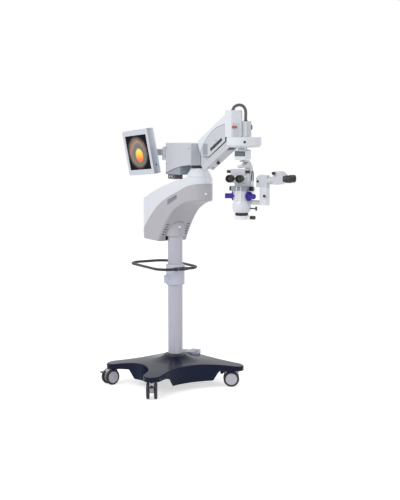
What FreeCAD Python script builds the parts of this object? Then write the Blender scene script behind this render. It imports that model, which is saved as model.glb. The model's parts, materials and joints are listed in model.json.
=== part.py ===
import FreeCAD, Part
import math
import os

# Surgical microscope on a wheeled floor stand.
# Millimetres, +Z up. The origin is on the floor on the column's axis.
# The arm points along -Y.

V = FreeCAD.Vector
X_AXIS = V(1, 0, 0)
Y_AXIS = V(0, 1, 0)
Z_AXIS = V(0, 0, 1)

# Clearances
RUN = 0.05          # radial running fit of a pin in its bore
SEAT = 0.3          # gap between pieces that rest on each other and move
GAP = 1.0           # visible joint between covers

# Base
ARM_REACH = 463.0           # column axis to the tip of a base arm
ARM_TIP_R = 58.0            # plan radius of an arm's end
FRONT_SPREAD = 50.0         # angle of each front arm from straight ahead
REAR_LEFT = 60.0            # angle of the left rear arm from straight back
REAR_RIGHT = 35.0           # the right one stands closer behind the column
VALLEYS = (215.0, 255.0, 215.0, 255.0)   # plan radius between arms: front, right, back, left
BASE_WALL = 4.0
BASE_TOP = 200.0            # top of the base at the column
SHOULDER_TOP = 168.0
TIP_TOP = 140.0
SKIRT_BOTTOM = 50.0
TIP_BOTTOM = 110.0
CAP_R = 79.0                # flat round top of the base around the column
SHOULDER_R = 150.0
SKIRT_R = 285.0             # the skirt is full height inside this radius
RISE_R = 317.0              # and clears the wheels outside this one
BEAM_W = 52.0
BEAM_H = 24.0
HUB_R = 74.0
BALLAST_R = 148.0
BOX_ANGLE = 120.0           # connector box, from straight ahead
BALLAST_H = 50.0

# Casters
CASTER_R = 412.0            # column axis to a caster's swivel axis
WHEEL_R = 52.5
WHEEL_W = 20.0
WHEEL_IN = 15.0             # inner face of a wheel from the fork's middle
HUB_DISC_R = 39.0
TRAIL = 32.0
AXLE_R = 6.0
STEM_R = 8.0
STEM_TOP = 132.0
HEAD_R = 22.0
HEAD_Z = 106.0
FORK_HALF = 12.5
PEDAL_PIN_R = 3.0

# Column
COLUMN_R = 49.0
COLUMN_WALL = 5.0
COLUMN_TOP = 1150.0
COLLAR_H = 12.0
SLEEVE_R = 63.0
SLEEVE_BOTTOM = 1001.0
SLEEVE_TOP = 1108.0

# Push handle
RING_R = 9.0
RING_Z = 787.0
RING_HALF = 151.0
RING_FRONT = -80.0
RING_BACK = 400.0
RING_CORNER = 90.0
GRIP_R = 12.0
GRIP_HALF = 48.0
CLAMP_R = 62.0
CLAMP_BOTTOM = 675.0
CLAMP_TOP = 811.0

# Swan neck housing
NECK_WALL = 5.0
NECK_HALF = 110.0
NECK_BACK = 272.0
NECK_CORNER = 40.0
NECK_TOP = 1405.0
NECK_BOTTOM = 965.0
NECK_CHAMFER_TOP = 1007.0
NECK_BACK_TOP = 1235.0
NECK_SHOULDER = 40.0         # where the sides turn in towards the nose
NECK_ROUND = 14.0
NECK_NOSE_R = 86.0
NECK_NOSE_BOTTOM = 1258.0
LOUVRE_COUNT = 5

# Main vertical pivot
PIVOT_Y = -317.0
PIVOT_R = 30.0
BEARING_R = 45.0
CONE_R_LOW = 77.0
PIVOT_DEPTH = 85.0              # the pivot reaches this far into the neck
CONE_R_TOP = 51.0
CONE_H = 54.0
CONE_TOP = NECK_TOP + CONE_H

# Carriage above the pivot
BOX_HALF = 86.0
BOX_BACK = -25.0
BOX_FRONT = -357.0
BOX_ABOVE = 137.0                # box top over the plate's underside
BOX_BELOW = 66.0
BOX_WALL = 3.0
PLATE_RISE = 19.0                # plate's underside over the bearing cover
PLATE_T = 12.0
PLATE_Z = CONE_TOP + PLATE_RISE
BOX_TOP = PLATE_Z + BOX_ABOVE
BOX_BOTTOM = PLATE_Z - BOX_BELOW

# Spring arm, a parallelogram of two links
PIVOT_AHEAD = 129.0              # rear pivot in front of the main pivot
PIVOT_UNDER = 30.0               # and below the top of the box
REAR_PIVOT = (PIVOT_Y - PIVOT_AHEAD, BOX_TOP - PIVOT_UNDER)
LINK_DROP = (10.0, -112.0)       # from an upper pivot to the lower one
ARM_LENGTH = 318.8
ARM_RISE = 26.65                 # degrees above horizontal at rest
PIN_R = 8.0
PIN_HALF = 30.0
LOWER_PIN_HALF = 33.0
BOSS_R = 16.0
OPEN_PIN = 0.3                   # play where the loop of links is closed
PLATE_IN = 24.0
PLATE_OUT = 29.0
COVER_IN = 32.0
COVER_OUT = 35.0
LINK_IN = 27.0
LINK_OUT = 33.0
LINK_R = 22.0
COVER_LOW = 66.0                 # lower edge of the cover below the link line

# Arm head
HEAD_BEHIND = 31.93              # from the front pivot to the head's faces
HEAD_AHEAD = 36.07
HEAD_UNDER = 69.0
HEAD_H = 159.0
HEAD_HALF = 40.0
LEVER_RISE = 59.0                # release lever over the head's underside
HEAD_WALL = 4.0
HOSE_R = 6.9
HOSE_HOLE_R = 7.5
LEVER_PIN_R = 3.5

# Lamp box at the head's right
LAMP_W = 44.0
LAMP_D = 80.0
LAMP_H = 94.0
LAMP_AHEAD = 33.0                # lamp box in front of the head

# Positioning unit
AXIS_AHEAD = 67.0                # microscope swivel axis in front of the head
DISC_AHEAD = 14.0                # disc's centre in front of that axis
DISC_R = 103.0
DISC_H = 59.0
DISC_WALL = 4.0
DISC_BEVEL = 12.0
SLOT_R = 50.0
STEM2_R = 28.0

# Microscope, in its own frame: -Y towards the surgeon, then turned by TURN
TURN = -55.0
DISC_LEVEL = 1600.0              # height of the disc's underside in this frame
BLOCK_HALF = 37.0
BLOCK_BACK = 40.0
BLOCK_DROP = 14.0                # display block under the disc
BLOCK_H = 60.0
BLOCK_TOP = DISC_LEVEL - BLOCK_DROP
BLOCK_BOTTOM = BLOCK_TOP - BLOCK_H
YOKE_HALF = 16.0
GUIDE_R = 12.0
TILT = (116.0, 1345.0)           # y, z of the tilt hinge
TILT_PIN_R = 7.0
BODY_R = 46.0
BODY_Y = -10.0
BODY_TOP = 1374.0
BODY_BOTTOM = 1214.0
TUBE_Y = -47.0
TUBE_HALF = 44.0
TUBE_TOP = 1473.0
DRUM_R = 28.0
EYE_HALF = 31.0                  # half the distance between the eyepieces
EYE_Z = 1419.0
KNOB_Z = 1356.0
FOCUS_KNOB_R = 14.0
GRIP_ANGLE = 25.0                # hand knobs point this far forward of sideways
GRIP_Z = 1313.0

# Assistant's microscope at the right
SIDE_X = 142.0
SIDE_HALF = 25.0
SIDE_BOTTOM = 1262.0
SIDE_TOP = 1368.0
SIDE_EYE_Z = 1419.0

# Monitor
MON_W = 366.0
MON_H = 299.0
MON_T = 45.0
MON_X = -148.0
MON_Y = 196.0
MON_RISE = 74.0                  # monitor's middle over the carriage plate
MON_Z = PLATE_Z + MON_RISE
MON_PITCH = 9.0
MON_ROLL = 4.0
MON_POST = (-58.0, 34.0)

NODES = {}


def node(name, *shapes):
    """Keep one sub-part: its solids, each of them closed."""
    solids = [s for shape in shapes for s in shape.Solids]
    NODES[name] = solids[0] if len(solids) == 1 else Part.makeCompound(solids)


def box(x0, x1, y0, y1, z0, z1):
    return Part.makeBox(x1 - x0, y1 - y0, z1 - z0, V(x0, y0, z0))


def cyl(r, h, at, axis=Z_AXIS):
    return Part.makeCylinder(r, h, V(*at), axis)


def cyl_x(r, x0, x1, y, z):
    return cyl(r, x1 - x0, (x0, y, z), X_AXIS)


def cyl_y(r, y0, y1, x, z):
    return cyl(r, y1 - y0, (x, y0, z), Y_AXIS)


def face_yz(points, x):
    pts = [V(x, y, z) for y, z in points]
    return Part.Face(Part.makePolygon(pts + pts[:1]))


def prism_x(points, x0, x1):
    """A (y, z) outline extruded from x0 to x1."""
    return face_yz(points, x0).extrude(V(x1 - x0, 0, 0))


def prism_y(points, y0, y1):
    """An (x, z) outline extruded from y0 to y1."""
    pts = [V(x, y0, z) for x, z in points]
    return Part.Face(Part.makePolygon(pts + pts[:1])).extrude(V(0, y1 - y0, 0))


def prism_z(points, z0, z1):
    """An (x, y) outline extruded from z0 to z1."""
    pts = [V(x, y, z0) for x, y in points]
    return Part.Face(Part.makePolygon(pts + pts[:1])).extrude(V(0, 0, z1 - z0))


def lathe(points, centre=(0, 0)):
    """An (r, z) outline turned about the vertical line through centre."""
    pts = [V(r, 0, z) for r, z in points]
    solid = Part.Face(Part.makePolygon(pts + pts[:1])).revolve(V(), Z_AXIS, 360)
    return solid.translated(V(centre[0], centre[1], 0))


def rounded_box(x0, x1, y0, y1, z0, z1, r, axis="z"):
    """A box whose four edges along the axis are rounded."""
    solid = box(x0, x1, y0, y1, z0, z1)
    direction = {"x": X_AXIS, "y": Y_AXIS, "z": Z_AXIS}[axis]
    edges = [e for e in solid.Edges
             if abs(e.tangentAt(e.FirstParameter).dot(direction)) > 0.99]
    return solid.makeFillet(r, edges)


def direction(angle):
    """Unit plan vector at an angle from straight ahead, positive to +X."""
    a = math.radians(angle)
    return V(math.sin(a), -math.cos(a), 0)


def placed(shape, angle, at):
    """Turn a shape about +Z, then move it."""
    out = shape.copy()
    out.rotate(V(), Z_AXIS, angle)
    out.translate(V(*at))
    return out


def along_link(s, across, pivot=REAR_PIVOT):
    """A (y, z) point s along the arm from a pivot and across it, upwards."""
    a = math.radians(ARM_RISE)
    return (pivot[0] - s * math.cos(a) + across * math.sin(a),
            pivot[1] + s * math.sin(a) + across * math.cos(a))


FRONT_PIVOT = along_link(ARM_LENGTH, 0)
REAR_LOWER = (REAR_PIVOT[0] + LINK_DROP[0], REAR_PIVOT[1] + LINK_DROP[1])
FRONT_LOWER = (FRONT_PIVOT[0] + LINK_DROP[0], FRONT_PIVOT[1] + LINK_DROP[1])
HEAD_BACK = FRONT_PIVOT[0] + HEAD_BEHIND
HEAD_FRONT = FRONT_PIVOT[0] - HEAD_AHEAD
HEAD_BOTTOM = FRONT_PIVOT[1] - HEAD_UNDER
HEAD_TOP = HEAD_BOTTOM + HEAD_H
LEVER_Z = HEAD_BOTTOM + LEVER_RISE
LAMP = (HEAD_HALF, HEAD_HALF + LAMP_W, HEAD_FRONT - LAMP_AHEAD,
        HEAD_FRONT - LAMP_AHEAD + LAMP_D, HEAD_BOTTOM, HEAD_BOTTOM + LAMP_H)
AXIS_Y = HEAD_FRONT - AXIS_AHEAD
DISC_Y = AXIS_Y - DISC_AHEAD
DISC_BOTTOM = HEAD_BOTTOM - DISC_H
HANG_Z = DISC_BOTTOM - DISC_LEVEL
ARM_ANGLES = (-FRONT_SPREAD, FRONT_SPREAD, 180 - REAR_RIGHT, 180 + REAR_LEFT)
CASTER_TURN = {"front_left": -30, "front_right": -120, "rear_right": 60,
               "rear_left": -80}
CASTER_NAMES = ("front_left", "front_right", "rear_right", "rear_left")


# Base

def base_outline(inset=0.0):
    """Plan wire of the four arms: round tips joined by hollow arcs."""
    tips = []
    for angle in ARM_ANGLES:
        out = direction(angle)
        side = V(-out.y, out.x, 0)
        centre = out * (ARM_REACH - ARM_TIP_R)
        r = ARM_TIP_R - inset
        tips.append((centre - side * r, centre + out * r, centre + side * r))
    edges = []
    for i, tip in enumerate(tips):
        after = tips[(i + 1) % 4]
        a0 = ARM_ANGLES[i]
        a1 = ARM_ANGLES[(i + 1) % 4]
        middle = (a0 + a1) / 2 if a1 > a0 else (a0 + a1 + 360) / 2
        edges.append(Part.Arc(*tip).toShape())
        valley = direction(middle) * (VALLEYS[i] - inset)
        edges.append(Part.Arc(tip[2], valley, after[0]).toShape())
    return Part.Wire(edges)


def base_body(inset):
    plan = Part.Face(base_outline(inset))
    plan.translate(V(0, 0, SKIRT_BOTTOM - 20))
    column = plan.extrude(V(0, 0, BASE_TOP))
    far = ARM_REACH + 20
    low = SKIRT_BOTTOM if inset == 0 else SKIRT_BOTTOM - 10
    tip_low = TIP_BOTTOM if inset == 0 else TIP_BOTTOM - 10
    profile = lathe([(0, low), (SKIRT_R, low), (RISE_R, tip_low), (far, tip_low),
                     (far, TIP_TOP - inset), (SHOULDER_R, SHOULDER_TOP - inset),
                     (CAP_R + 8, BASE_TOP - 8 - inset), (CAP_R, BASE_TOP - inset),
                     (0, BASE_TOP - inset)])
    return column.common(profile)


def make_base():
    cover = base_body(0).cut(base_body(BASE_WALL))
    cover = cover.cut(cyl(COLUMN_R + GAP, 60, (0, 0, BASE_TOP - 40)))

    beam_z0 = TIP_BOTTOM + 1
    frame = cyl(HUB_R, BASE_TOP - BASE_WALL - 4 - beam_z0, (0, 0, beam_z0))
    frame = frame.fuse(cyl(BALLAST_R, BALLAST_H, (0, 0, beam_z0 - BALLAST_H)))
    for angle in ARM_ANGLES:
        beam = box(-BEAM_W / 2, BEAM_W / 2, -CASTER_R - BEAM_W / 2, -20,
                   beam_z0, beam_z0 + BEAM_H)
        frame = frame.fuse(placed(beam, angle, (0, 0, 0)))
    frame = frame.cut(cyl(COLUMN_R + RUN, 200, (0, 0, beam_z0 + BEAM_H)))
    for angle in ARM_ANGLES:
        at = direction(angle) * CASTER_R
        frame = frame.cut(cyl(STEM_R + RUN, 60, (at.x, at.y, beam_z0 - 5)))
    node("base_frame", frame.removeSplitter())

    collar = lathe([(COLUMN_R + SEAT, BASE_TOP), (CAP_R - 2, BASE_TOP),
                    (CAP_R - 6, BASE_TOP + COLLAR_H * 0.6),
                    (COLUMN_R + 6, BASE_TOP + COLLAR_H),
                    (COLUMN_R + SEAT, BASE_TOP + COLLAR_H)])
    node("base_cover", cover, collar)

    block = rounded_box(-34, 34, -290, -168, 155, 184, 14)
    block = placed(block, BOX_ANGLE, (0, 0, 0))
    node("connector_box", block.cut(base_body(-SEAT)))

    tube = cyl(COLUMN_R, COLUMN_TOP - beam_z0 - BEAM_H, (0, 0, beam_z0 + BEAM_H))
    bore = cyl(COLUMN_R - COLUMN_WALL, COLUMN_TOP, (0, 0, beam_z0 + BEAM_H + 12))
    node("column_tube", tube.cut(bore))


# Casters

def caster_fork():
    web = prism_x([(-TRAIL - 13, WHEEL_R - 13), (-TRAIL + 13, WHEEL_R - 13),
                   (14, 82), (19, HEAD_Z + 2), (-20, HEAD_Z + 2), (-58, HEAD_Z - 4), (-76, 92),
                   (-72, 78), (-TRAIL - 16, WHEEL_R)], -FORK_HALF, FORK_HALF)
    fork = web.fuse(cyl(HEAD_R, 4.7, (0, 0, HEAD_Z)))
    fork = fork.fuse(cyl(STEM_R, STEM_TOP - HEAD_Z, (0, 0, HEAD_Z)))
    fork = fork.cut(cyl_x(AXLE_R + RUN, -20, 20, -TRAIL, WHEEL_R))
    fork = fork.cut(box(-8, 8, -100, -56, 60, 120))
    return fork.fuse(cyl_x(PEDAL_PIN_R, -9, 9, -66, 88))


def caster_wheels():
    solids = [cyl_x(AXLE_R, -WHEEL_IN, WHEEL_IN, -TRAIL, WHEEL_R)]
    for side in (-1, 1):
        x0 = WHEEL_IN if side > 0 else -WHEEL_IN - WHEEL_W
        tyre = cyl_x(WHEEL_R, x0, x0 + WHEEL_W, -TRAIL, WHEEL_R)
        rim = [e for e in tyre.Edges if abs(e.Length - 2 * math.pi * WHEEL_R) < 1]
        tyre = tyre.makeFillet(5, rim)
        disc = cyl_x(HUB_DISC_R, x0, x0 + WHEEL_W, -TRAIL, WHEEL_R)
        solids += [tyre.cut(disc), disc]
    return Part.makeCompound(solids)


def caster_pedal():
    pedal = cyl_x(7, -7.7, 7.7, -66, 88)
    pedal = pedal.fuse(prism_x([(-66, 83), (-66, 94), (-84, 97), (-98, 93),
                                (-98, 86), (-84, 90)], -7.7, 7.7))
    plate = rounded_box(-22, 22, -105, -86, 86, 93, 8)
    return pedal.fuse(plate).cut(cyl_x(PEDAL_PIN_R + RUN, -10, 10, -66, 88))


def make_casters():
    for angle, name in zip(ARM_ANGLES, CASTER_NAMES):
        at = direction(angle) * CASTER_R
        turn = CASTER_TURN[name]
        for piece, shape in (("fork", caster_fork()), ("wheels", caster_wheels()),
                             ("brake", caster_pedal())):
            node(f"caster_{name}_{piece}", placed(shape, turn, (at.x, at.y, 0)))


# Push handle

def ring_path():
    x = RING_HALF
    y0, y1, r = RING_FRONT, RING_BACK, RING_CORNER
    k = r * (1 - math.sqrt(0.5))
    p = [V(-x + r, y0, 0), V(x - r, y0, 0), V(x, y0 + r, 0), V(x, y1 - r, 0),
         V(x - r, y1, 0), V(-x + r, y1, 0), V(-x, y1 - r, 0), V(-x, y0 + r, 0)]
    m = [V(x - k, y0 + k, 0), V(x - k, y1 - k, 0), V(-x + k, y1 - k, 0),
         V(-x + k, y0 + k, 0)]
    edges = []
    for i in range(4):
        edges.append(Part.LineSegment(p[2 * i], p[2 * i + 1]).toShape())
        edges.append(Part.Arc(p[2 * i + 1], m[i], p[(2 * i + 2) % 8]).toShape())
    return Part.Wire(edges)


def make_handle():
    path = ring_path()
    start = V(-RING_HALF + RING_CORNER, RING_FRONT, 0)
    circle = Part.Wire(Part.Circle(start, X_AXIS, RING_R).toShape())
    ring = path.makePipeShell([circle], True, False)
    ring.translate(V(0, 0, RING_Z))
    grip = cyl_x(GRIP_R, -GRIP_HALF, GRIP_HALF, RING_FRONT, RING_Z)
    grip = grip.cut(cyl_x(RING_R, -60, 60, RING_FRONT, RING_Z))
    node("handle_ring", ring, grip)

    clamp = cyl(CLAMP_R, CLAMP_TOP - CLAMP_BOTTOM, (0, 0, CLAMP_BOTTOM))
    rims = [e for e in clamp.Edges if e.Length > 300 and len(e.Vertexes) == 1]
    clamp = clamp.makeFillet(8, rims)
    lug = box(-34, 34, RING_FRONT, -CLAMP_R + 12, RING_Z - 15, RING_Z + 15)
    wedge = prism_z([(-CLAMP_R + 14, -26), (-CLAMP_R - 16, -14),
                     (-CLAMP_R - 16, 14), (-CLAMP_R + 14, 26)],
                    CLAMP_BOTTOM + 14, CLAMP_BOTTOM + 64)
    clamp = clamp.fuse(lug).fuse(wedge)
    clamp = clamp.cut(cyl(COLUMN_R, 400, (0, 0, CLAMP_BOTTOM - 50)))
    clamp = clamp.cut(cyl_x(GRIP_R, -90, 90, RING_FRONT, RING_Z))
    node("handle_clamp", clamp.removeSplitter())


# Swan neck housing

def neck_side(inset):
    """Side outline of the swan neck in (y, z), made smaller by inset."""
    t = inset
    nose = PIVOT_Y - NECK_NOSE_R - 20
    top = NECK_TOP - t
    # the outline runs past the back wall, which the plan alone gives
    back = NECK_BACK + 8 - t
    back_top = NECK_BACK_TOP - 3.2 - t
    heel = NECK_BOTTOM + t
    back_low = NECK_CHAMFER_TOP + 8 * 42 / 22
    edges = [
        Part.LineSegment(V(0, back, back_low), V(0, back, back_top)),
        Part.Arc(V(0, back, back_top), V(0, -20, 1336 - t), V(0, PIVOT_Y, top)),
        Part.LineSegment(V(0, PIVOT_Y, top), V(0, nose, top)),
        Part.LineSegment(V(0, nose, top), V(0, nose, NECK_NOSE_BOTTOM + t)),
        Part.LineSegment(V(0, nose, NECK_NOSE_BOTTOM + t), V(0, PIVOT_Y, 1244 + t)),
        Part.Arc(V(0, PIVOT_Y, 1244 + t), V(0, -218, 1213 + t),
                 V(0, -141 + t, 1174 + t)),
        Part.Arc(V(0, -141 + t, 1174 + t), V(0, -30 + t, 1064 + t),
                 V(0, NECK_SHOULDER + t, heel)),
        Part.LineSegment(V(0, NECK_SHOULDER + t, heel), V(0, NECK_BACK - 22 - t, heel)),
        Part.LineSegment(V(0, NECK_BACK - 22 - t, heel), V(0, back, back_low)),
    ]
    return Part.Face(Part.Wire([e.toShape() for e in edges]))


def neck_plan(inset):
    """Plan outline: a round nose at the pivot, widening to the back."""
    r = NECK_NOSE_R - inset
    half = NECK_HALF - inset
    back = NECK_BACK - inset
    corner = NECK_CORNER - inset
    k = corner * (1 - math.sqrt(0.5))
    reach = NECK_SHOULDER - PIVOT_Y
    turn = math.atan2(reach, half) - math.acos(r / math.hypot(half, reach))
    tx = r * math.cos(turn)
    ty = PIVOT_Y + r * math.sin(turn)
    y = NECK_SHOULDER
    edges = [
        Part.Arc(V(-tx, ty, 0), V(0, PIVOT_Y - r, 0), V(tx, ty, 0)),
        Part.LineSegment(V(tx, ty, 0), V(half, y, 0)),
        Part.LineSegment(V(half, y, 0), V(half, back - corner, 0)),
        Part.Arc(V(half, back - corner, 0), V(half - k, back - k, 0),
                 V(half - corner, back, 0)),
        Part.LineSegment(V(half - corner, back, 0), V(-half + corner, back, 0)),
        Part.Arc(V(-half + corner, back, 0), V(-half + k, back - k, 0),
                 V(-half, back - corner, 0)),
        Part.LineSegment(V(-half, back - corner, 0), V(-half, y, 0)),
        Part.LineSegment(V(-half, y, 0), V(-tx, ty, 0)),
    ]
    return Part.Face(Part.Wire([e.toShape() for e in edges]))


def neck_block(inset, radius=0):
    """The swan neck as one solid, its long edges rounded."""
    side = neck_side(inset)
    side.translate(V(-NECK_HALF - 10, 0, 0))
    side = side.extrude(V(2 * NECK_HALF + 20, 0, 0))
    plan = neck_plan(inset)
    plan.translate(V(0, 0, NECK_BOTTOM - 60))
    block = side.common(plan.extrude(V(0, 0, 600))).removeSplitter()
    if radius:
        edges = []
        for edge in block.Edges:
            b = edge.BoundBox
            across = b.XLength > NECK_NOSE_R * 1.5 and b.YLength < 1
            upright = b.XLength < 1 and b.YLength < 1
            if not across and not upright:
                edges.append(edge)
        block = block.makeFillet(radius, edges)
    return block


SEAM = [(300, 985), (272, 1009), (238, 1040), (200, 1078), (150, 1122), (75, 1178),
        (-47, 1247), (-203, 1307), (-338, 1351), (-426, 1366), (-470, 1368)]


def seam_block(above):
    """Everything over or under the seam between the two neck covers."""
    shift = GAP / 2 if above else -GAP / 2
    curve = Part.BSplineCurve()
    curve.interpolate([V(-200, y, z + shift) for y, z in SEAM])
    first, last = SEAM[0], SEAM[-1]
    if above:
        corners = [V(-200, last[0], NECK_TOP + 195), V(-200, first[0], NECK_TOP + 195)]
    else:
        corners = [V(-200, last[0], 900), V(-200, first[0], 900)]
    start = V(-200, first[0], first[1] + shift)
    end = V(-200, last[0], last[1] + shift)
    line = Part.makePolygon([end] + corners + [start])
    face = Part.Face(Part.Wire([curve.toShape()] + line.Edges))
    return face.extrude(V(400, 0, 0))


def make_neck():
    shell = neck_block(0, NECK_ROUND).cut(neck_block(NECK_WALL))
    shell = shell.cut(cyl(SLEEVE_R + SEAT, 180, (0, 0, 940)))
    # the bore's own seam line is turned away from the edge across the top
    bore = cyl(BEARING_R + GAP, 200, (0, 0, 1300))
    shell = shell.cut(placed(bore, 37, (0, PIVOT_Y, 0)))
    upper = shell.common(seam_block(True))
    lower = shell.common(seam_block(False))

    slots = []
    for side in (-1, 1):
        for i in range(LOUVRE_COUNT):
            z = 1010 + i * 17
            x = side * (84 - i * 1.5)
            slots.append(box(x - 11, x + 11, -120, 60, z, z + 5))
    grille = prism_x([(-80, 1245), (-195, 1288), (-195, 1262), (-80, 1212)],
                     -NECK_HALF - 20, -60)
    for cutter in slots:
        lower = lower.cut(cutter)
    bars = [prism_x([(-84, 1246 - k * 9), (-191, 1286 - k * 7),
                     (-191, 1283 - k * 7), (-84, 1243 - k * 9)],
                    -NECK_HALF - 20, -60) for k in range(4)]
    band = neck_block(1.0).cut(neck_block(NECK_WALL - 1))
    louvre = band.common(grille)
    for bar in bars:
        louvre = louvre.cut(bar)
    lower = lower.cut(grille)
    node("neck_upper_cover", upper)
    node("neck_lower_cover", lower, louvre)

    sleeve = lathe([(COLUMN_R + SEAT, SLEEVE_BOTTOM), (SLEEVE_R, SLEEVE_BOTTOM),
                    (SLEEVE_R, SLEEVE_TOP - 30), (SLEEVE_R - 3, SLEEVE_TOP - 12),
                    (SLEEVE_R - 9, SLEEVE_TOP), (COLUMN_R + SEAT, SLEEVE_TOP)])
    node("column_sleeve", sleeve)

    top = COLUMN_TOP
    frame = cyl(COLUMN_R + 12, 44, (0, 0, top - 38))
    seat = NECK_TOP - PIVOT_DEPTH - 24
    beam = prism_x([(58, top), (58, top + 60), (PIVOT_Y + 77, seat + 54),
                    (PIVOT_Y - 48, seat + 54), (PIVOT_Y - 48, seat),
                    (PIVOT_Y + 112, seat - 34), (-72, top + 42), (-60, top)], -48, 48)
    frame = frame.fuse(beam)
    frame = frame.fuse(cyl(BEARING_R, CONE_TOP - seat, (0, PIVOT_Y, seat)))
    frame = frame.cut(cyl(PIVOT_R + RUN, 200, (0, PIVOT_Y, seat + 20)))
    frame = frame.cut(cyl(COLUMN_R, 60, (0, 0, top - 60)))
    for side in (-1, 1):
        rail = box(40, NECK_HALF - NECK_WALL, NECK_SHOULDER + 2, 57, top + 10, top + 30)
        rail = rail if side > 0 else rail.mirror(V(), X_AXIS)
        frame = frame.fuse(rail)
    node("neck_frame", frame.removeSplitter())

    cone = lathe([(BEARING_R + SEAT, NECK_TOP), (CONE_R_LOW, NECK_TOP),
                  (CONE_R_LOW - 3, NECK_TOP + 14), (CONE_R_TOP + 3, CONE_TOP - 6),
                  (CONE_R_TOP, CONE_TOP), (BEARING_R + SEAT, CONE_TOP)],
                 (0, PIVOT_Y))
    node("bearing_cover", cone)

    supply = rounded_box(-80, 80, 90, 240, 1000, 1130, 8)
    tray = box(-80, 80, 84, 250, 992, 1000)
    foot = box(-NECK_HALF + NECK_WALL, NECK_HALF - NECK_WALL, 120, 200, 984, 992)
    node("power_supply", supply, tray.fuse(foot))


# Carriage with the light source

def make_carriage():
    y = PIVOT_Y
    foot = NECK_TOP - PIVOT_DEPTH
    frame = cyl(PIVOT_R, PLATE_Z - foot, (0, y, foot))
    frame = frame.fuse(cyl(BEARING_R - 1, PLATE_Z - CONE_TOP - SEAT,
                           (0, y, CONE_TOP + SEAT)))
    w = BOX_WALL
    frame = frame.fuse(rounded_box(-BOX_HALF + w, BOX_HALF - w, BOX_FRONT + w,
                                   BOX_BACK - w, PLATE_Z, PLATE_Z + PLATE_T, 8))
    # web carrying both rear pivots of the arm
    web = prism_x([(y + 10, PLATE_Z), (REAR_LOWER[0], REAR_LOWER[1] - 14),
                   (REAR_LOWER[0] - 14, REAR_LOWER[1]),
                   (REAR_PIVOT[0] - 14, REAR_PIVOT[1]),
                   (REAR_PIVOT[0] + 6, REAR_PIVOT[1] + 14), (y + 10, BOX_TOP - 15)],
                  -9, 9)
    frame = frame.fuse(web)
    frame = frame.fuse(cyl_x(BOSS_R, -PLATE_IN + SEAT, PLATE_IN - SEAT, *REAR_PIVOT))
    frame = frame.fuse(cyl_x(BOSS_R, -LINK_IN + SEAT, LINK_IN - SEAT, *REAR_LOWER))
    frame = frame.fuse(cyl_x(PIN_R, -PIN_HALF, PIN_HALF, *REAR_PIVOT))
    frame = frame.fuse(cyl_x(PIN_R, -LOWER_PIN_HALF, LOWER_PIN_HALF, *REAR_LOWER))
    # bracket for the monitor's post at the back
    px, py = MON_POST
    bracket = box(px - 12, px + 20, BOX_BACK - 10, py, MON_Z - 50, MON_Z - 32)
    bracket = bracket.fuse(cyl(16, 18, (px, py, MON_Z - 50)))
    riser = box(px - 12, px + 20, BOX_BACK - 20, BOX_BACK - 8, PLATE_Z, MON_Z - 32)
    frame = frame.fuse(bracket).fuse(riser)
    frame = frame.fuse(cyl(8, 78, (px, py, MON_Z - 40)))
    node("carriage_frame", frame.removeSplitter())

    outer = rounded_box(-BOX_HALF, BOX_HALF, BOX_FRONT, BOX_BACK, BOX_BOTTOM,
                        BOX_TOP, 10)
    inner = rounded_box(-BOX_HALF + w, BOX_HALF - w, BOX_FRONT + w, BOX_BACK - w,
                        BOX_BOTTOM - 10, BOX_TOP - w, 7)
    arch = Part.Wire([
        Part.Arc(V(-200, BOX_BACK - 5, BOX_BOTTOM + 8), V(-200, -170, PLATE_Z - 20),
                 V(-200, BOX_FRONT - 10, PLATE_Z + 2)).toShape(),
        Part.makePolygon([V(-200, BOX_FRONT - 10, PLATE_Z + 2),
                          V(-200, BOX_FRONT - 10, BOX_BOTTOM - 20),
                          V(-200, BOX_BACK - 5, BOX_BOTTOM - 20),
                          V(-200, BOX_BACK - 5, BOX_BOTTOM + 8)])])
    arch = Part.Face(Part.Wire(arch.Edges)).extrude(V(400, 0, 0))
    cover = outer.cut(inner).cut(arch)
    cover = cover.cut(box(-13, 13, BOX_FRONT - 5, BOX_FRONT + 20, PLATE_Z - 2,
                          BOX_TOP - 12))
    cover = cover.cut(box(px - 16, px + 24, BOX_BACK - 20, BOX_BACK + 5,
                          MON_Z - 54, MON_Z - 28))

    tray = box(-BOX_HALF + 6, BOX_HALF - 6, -215, BOX_BACK - 10, BOX_BOTTOM + 2,
               PLATE_Z)
    hollow = box(-BOX_HALF + 10, BOX_HALF - 10, -211, BOX_BACK - 14,
                 BOX_BOTTOM + 6, PLATE_Z)
    node("carriage_cover", cover, tray.cut(hollow))
    panel = rounded_box(-BOX_HALF + 12, -10, -125, BOX_BACK - 12, BOX_BOTTOM - 30,
                        BOX_BOTTOM + 2, 5)

    lamp = rounded_box(-70, 70, -215, -50, PLATE_Z + PLATE_T, BOX_TOP - 35, 6)
    fan = cyl_y(34, -50, -38, 30, BOX_TOP - 79)
    node("light_source", lamp, fan, panel)


# Monitor

def monitor_place(shape):
    """Lean the monitor forward and give it its small roll, at its centre."""
    out = shape.copy()
    out.rotate(V(MON_X, MON_Y, MON_Z), Y_AXIS, -MON_PITCH)
    out.rotate(V(MON_X, MON_Y, MON_Z), X_AXIS, -MON_ROLL)
    return out


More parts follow.
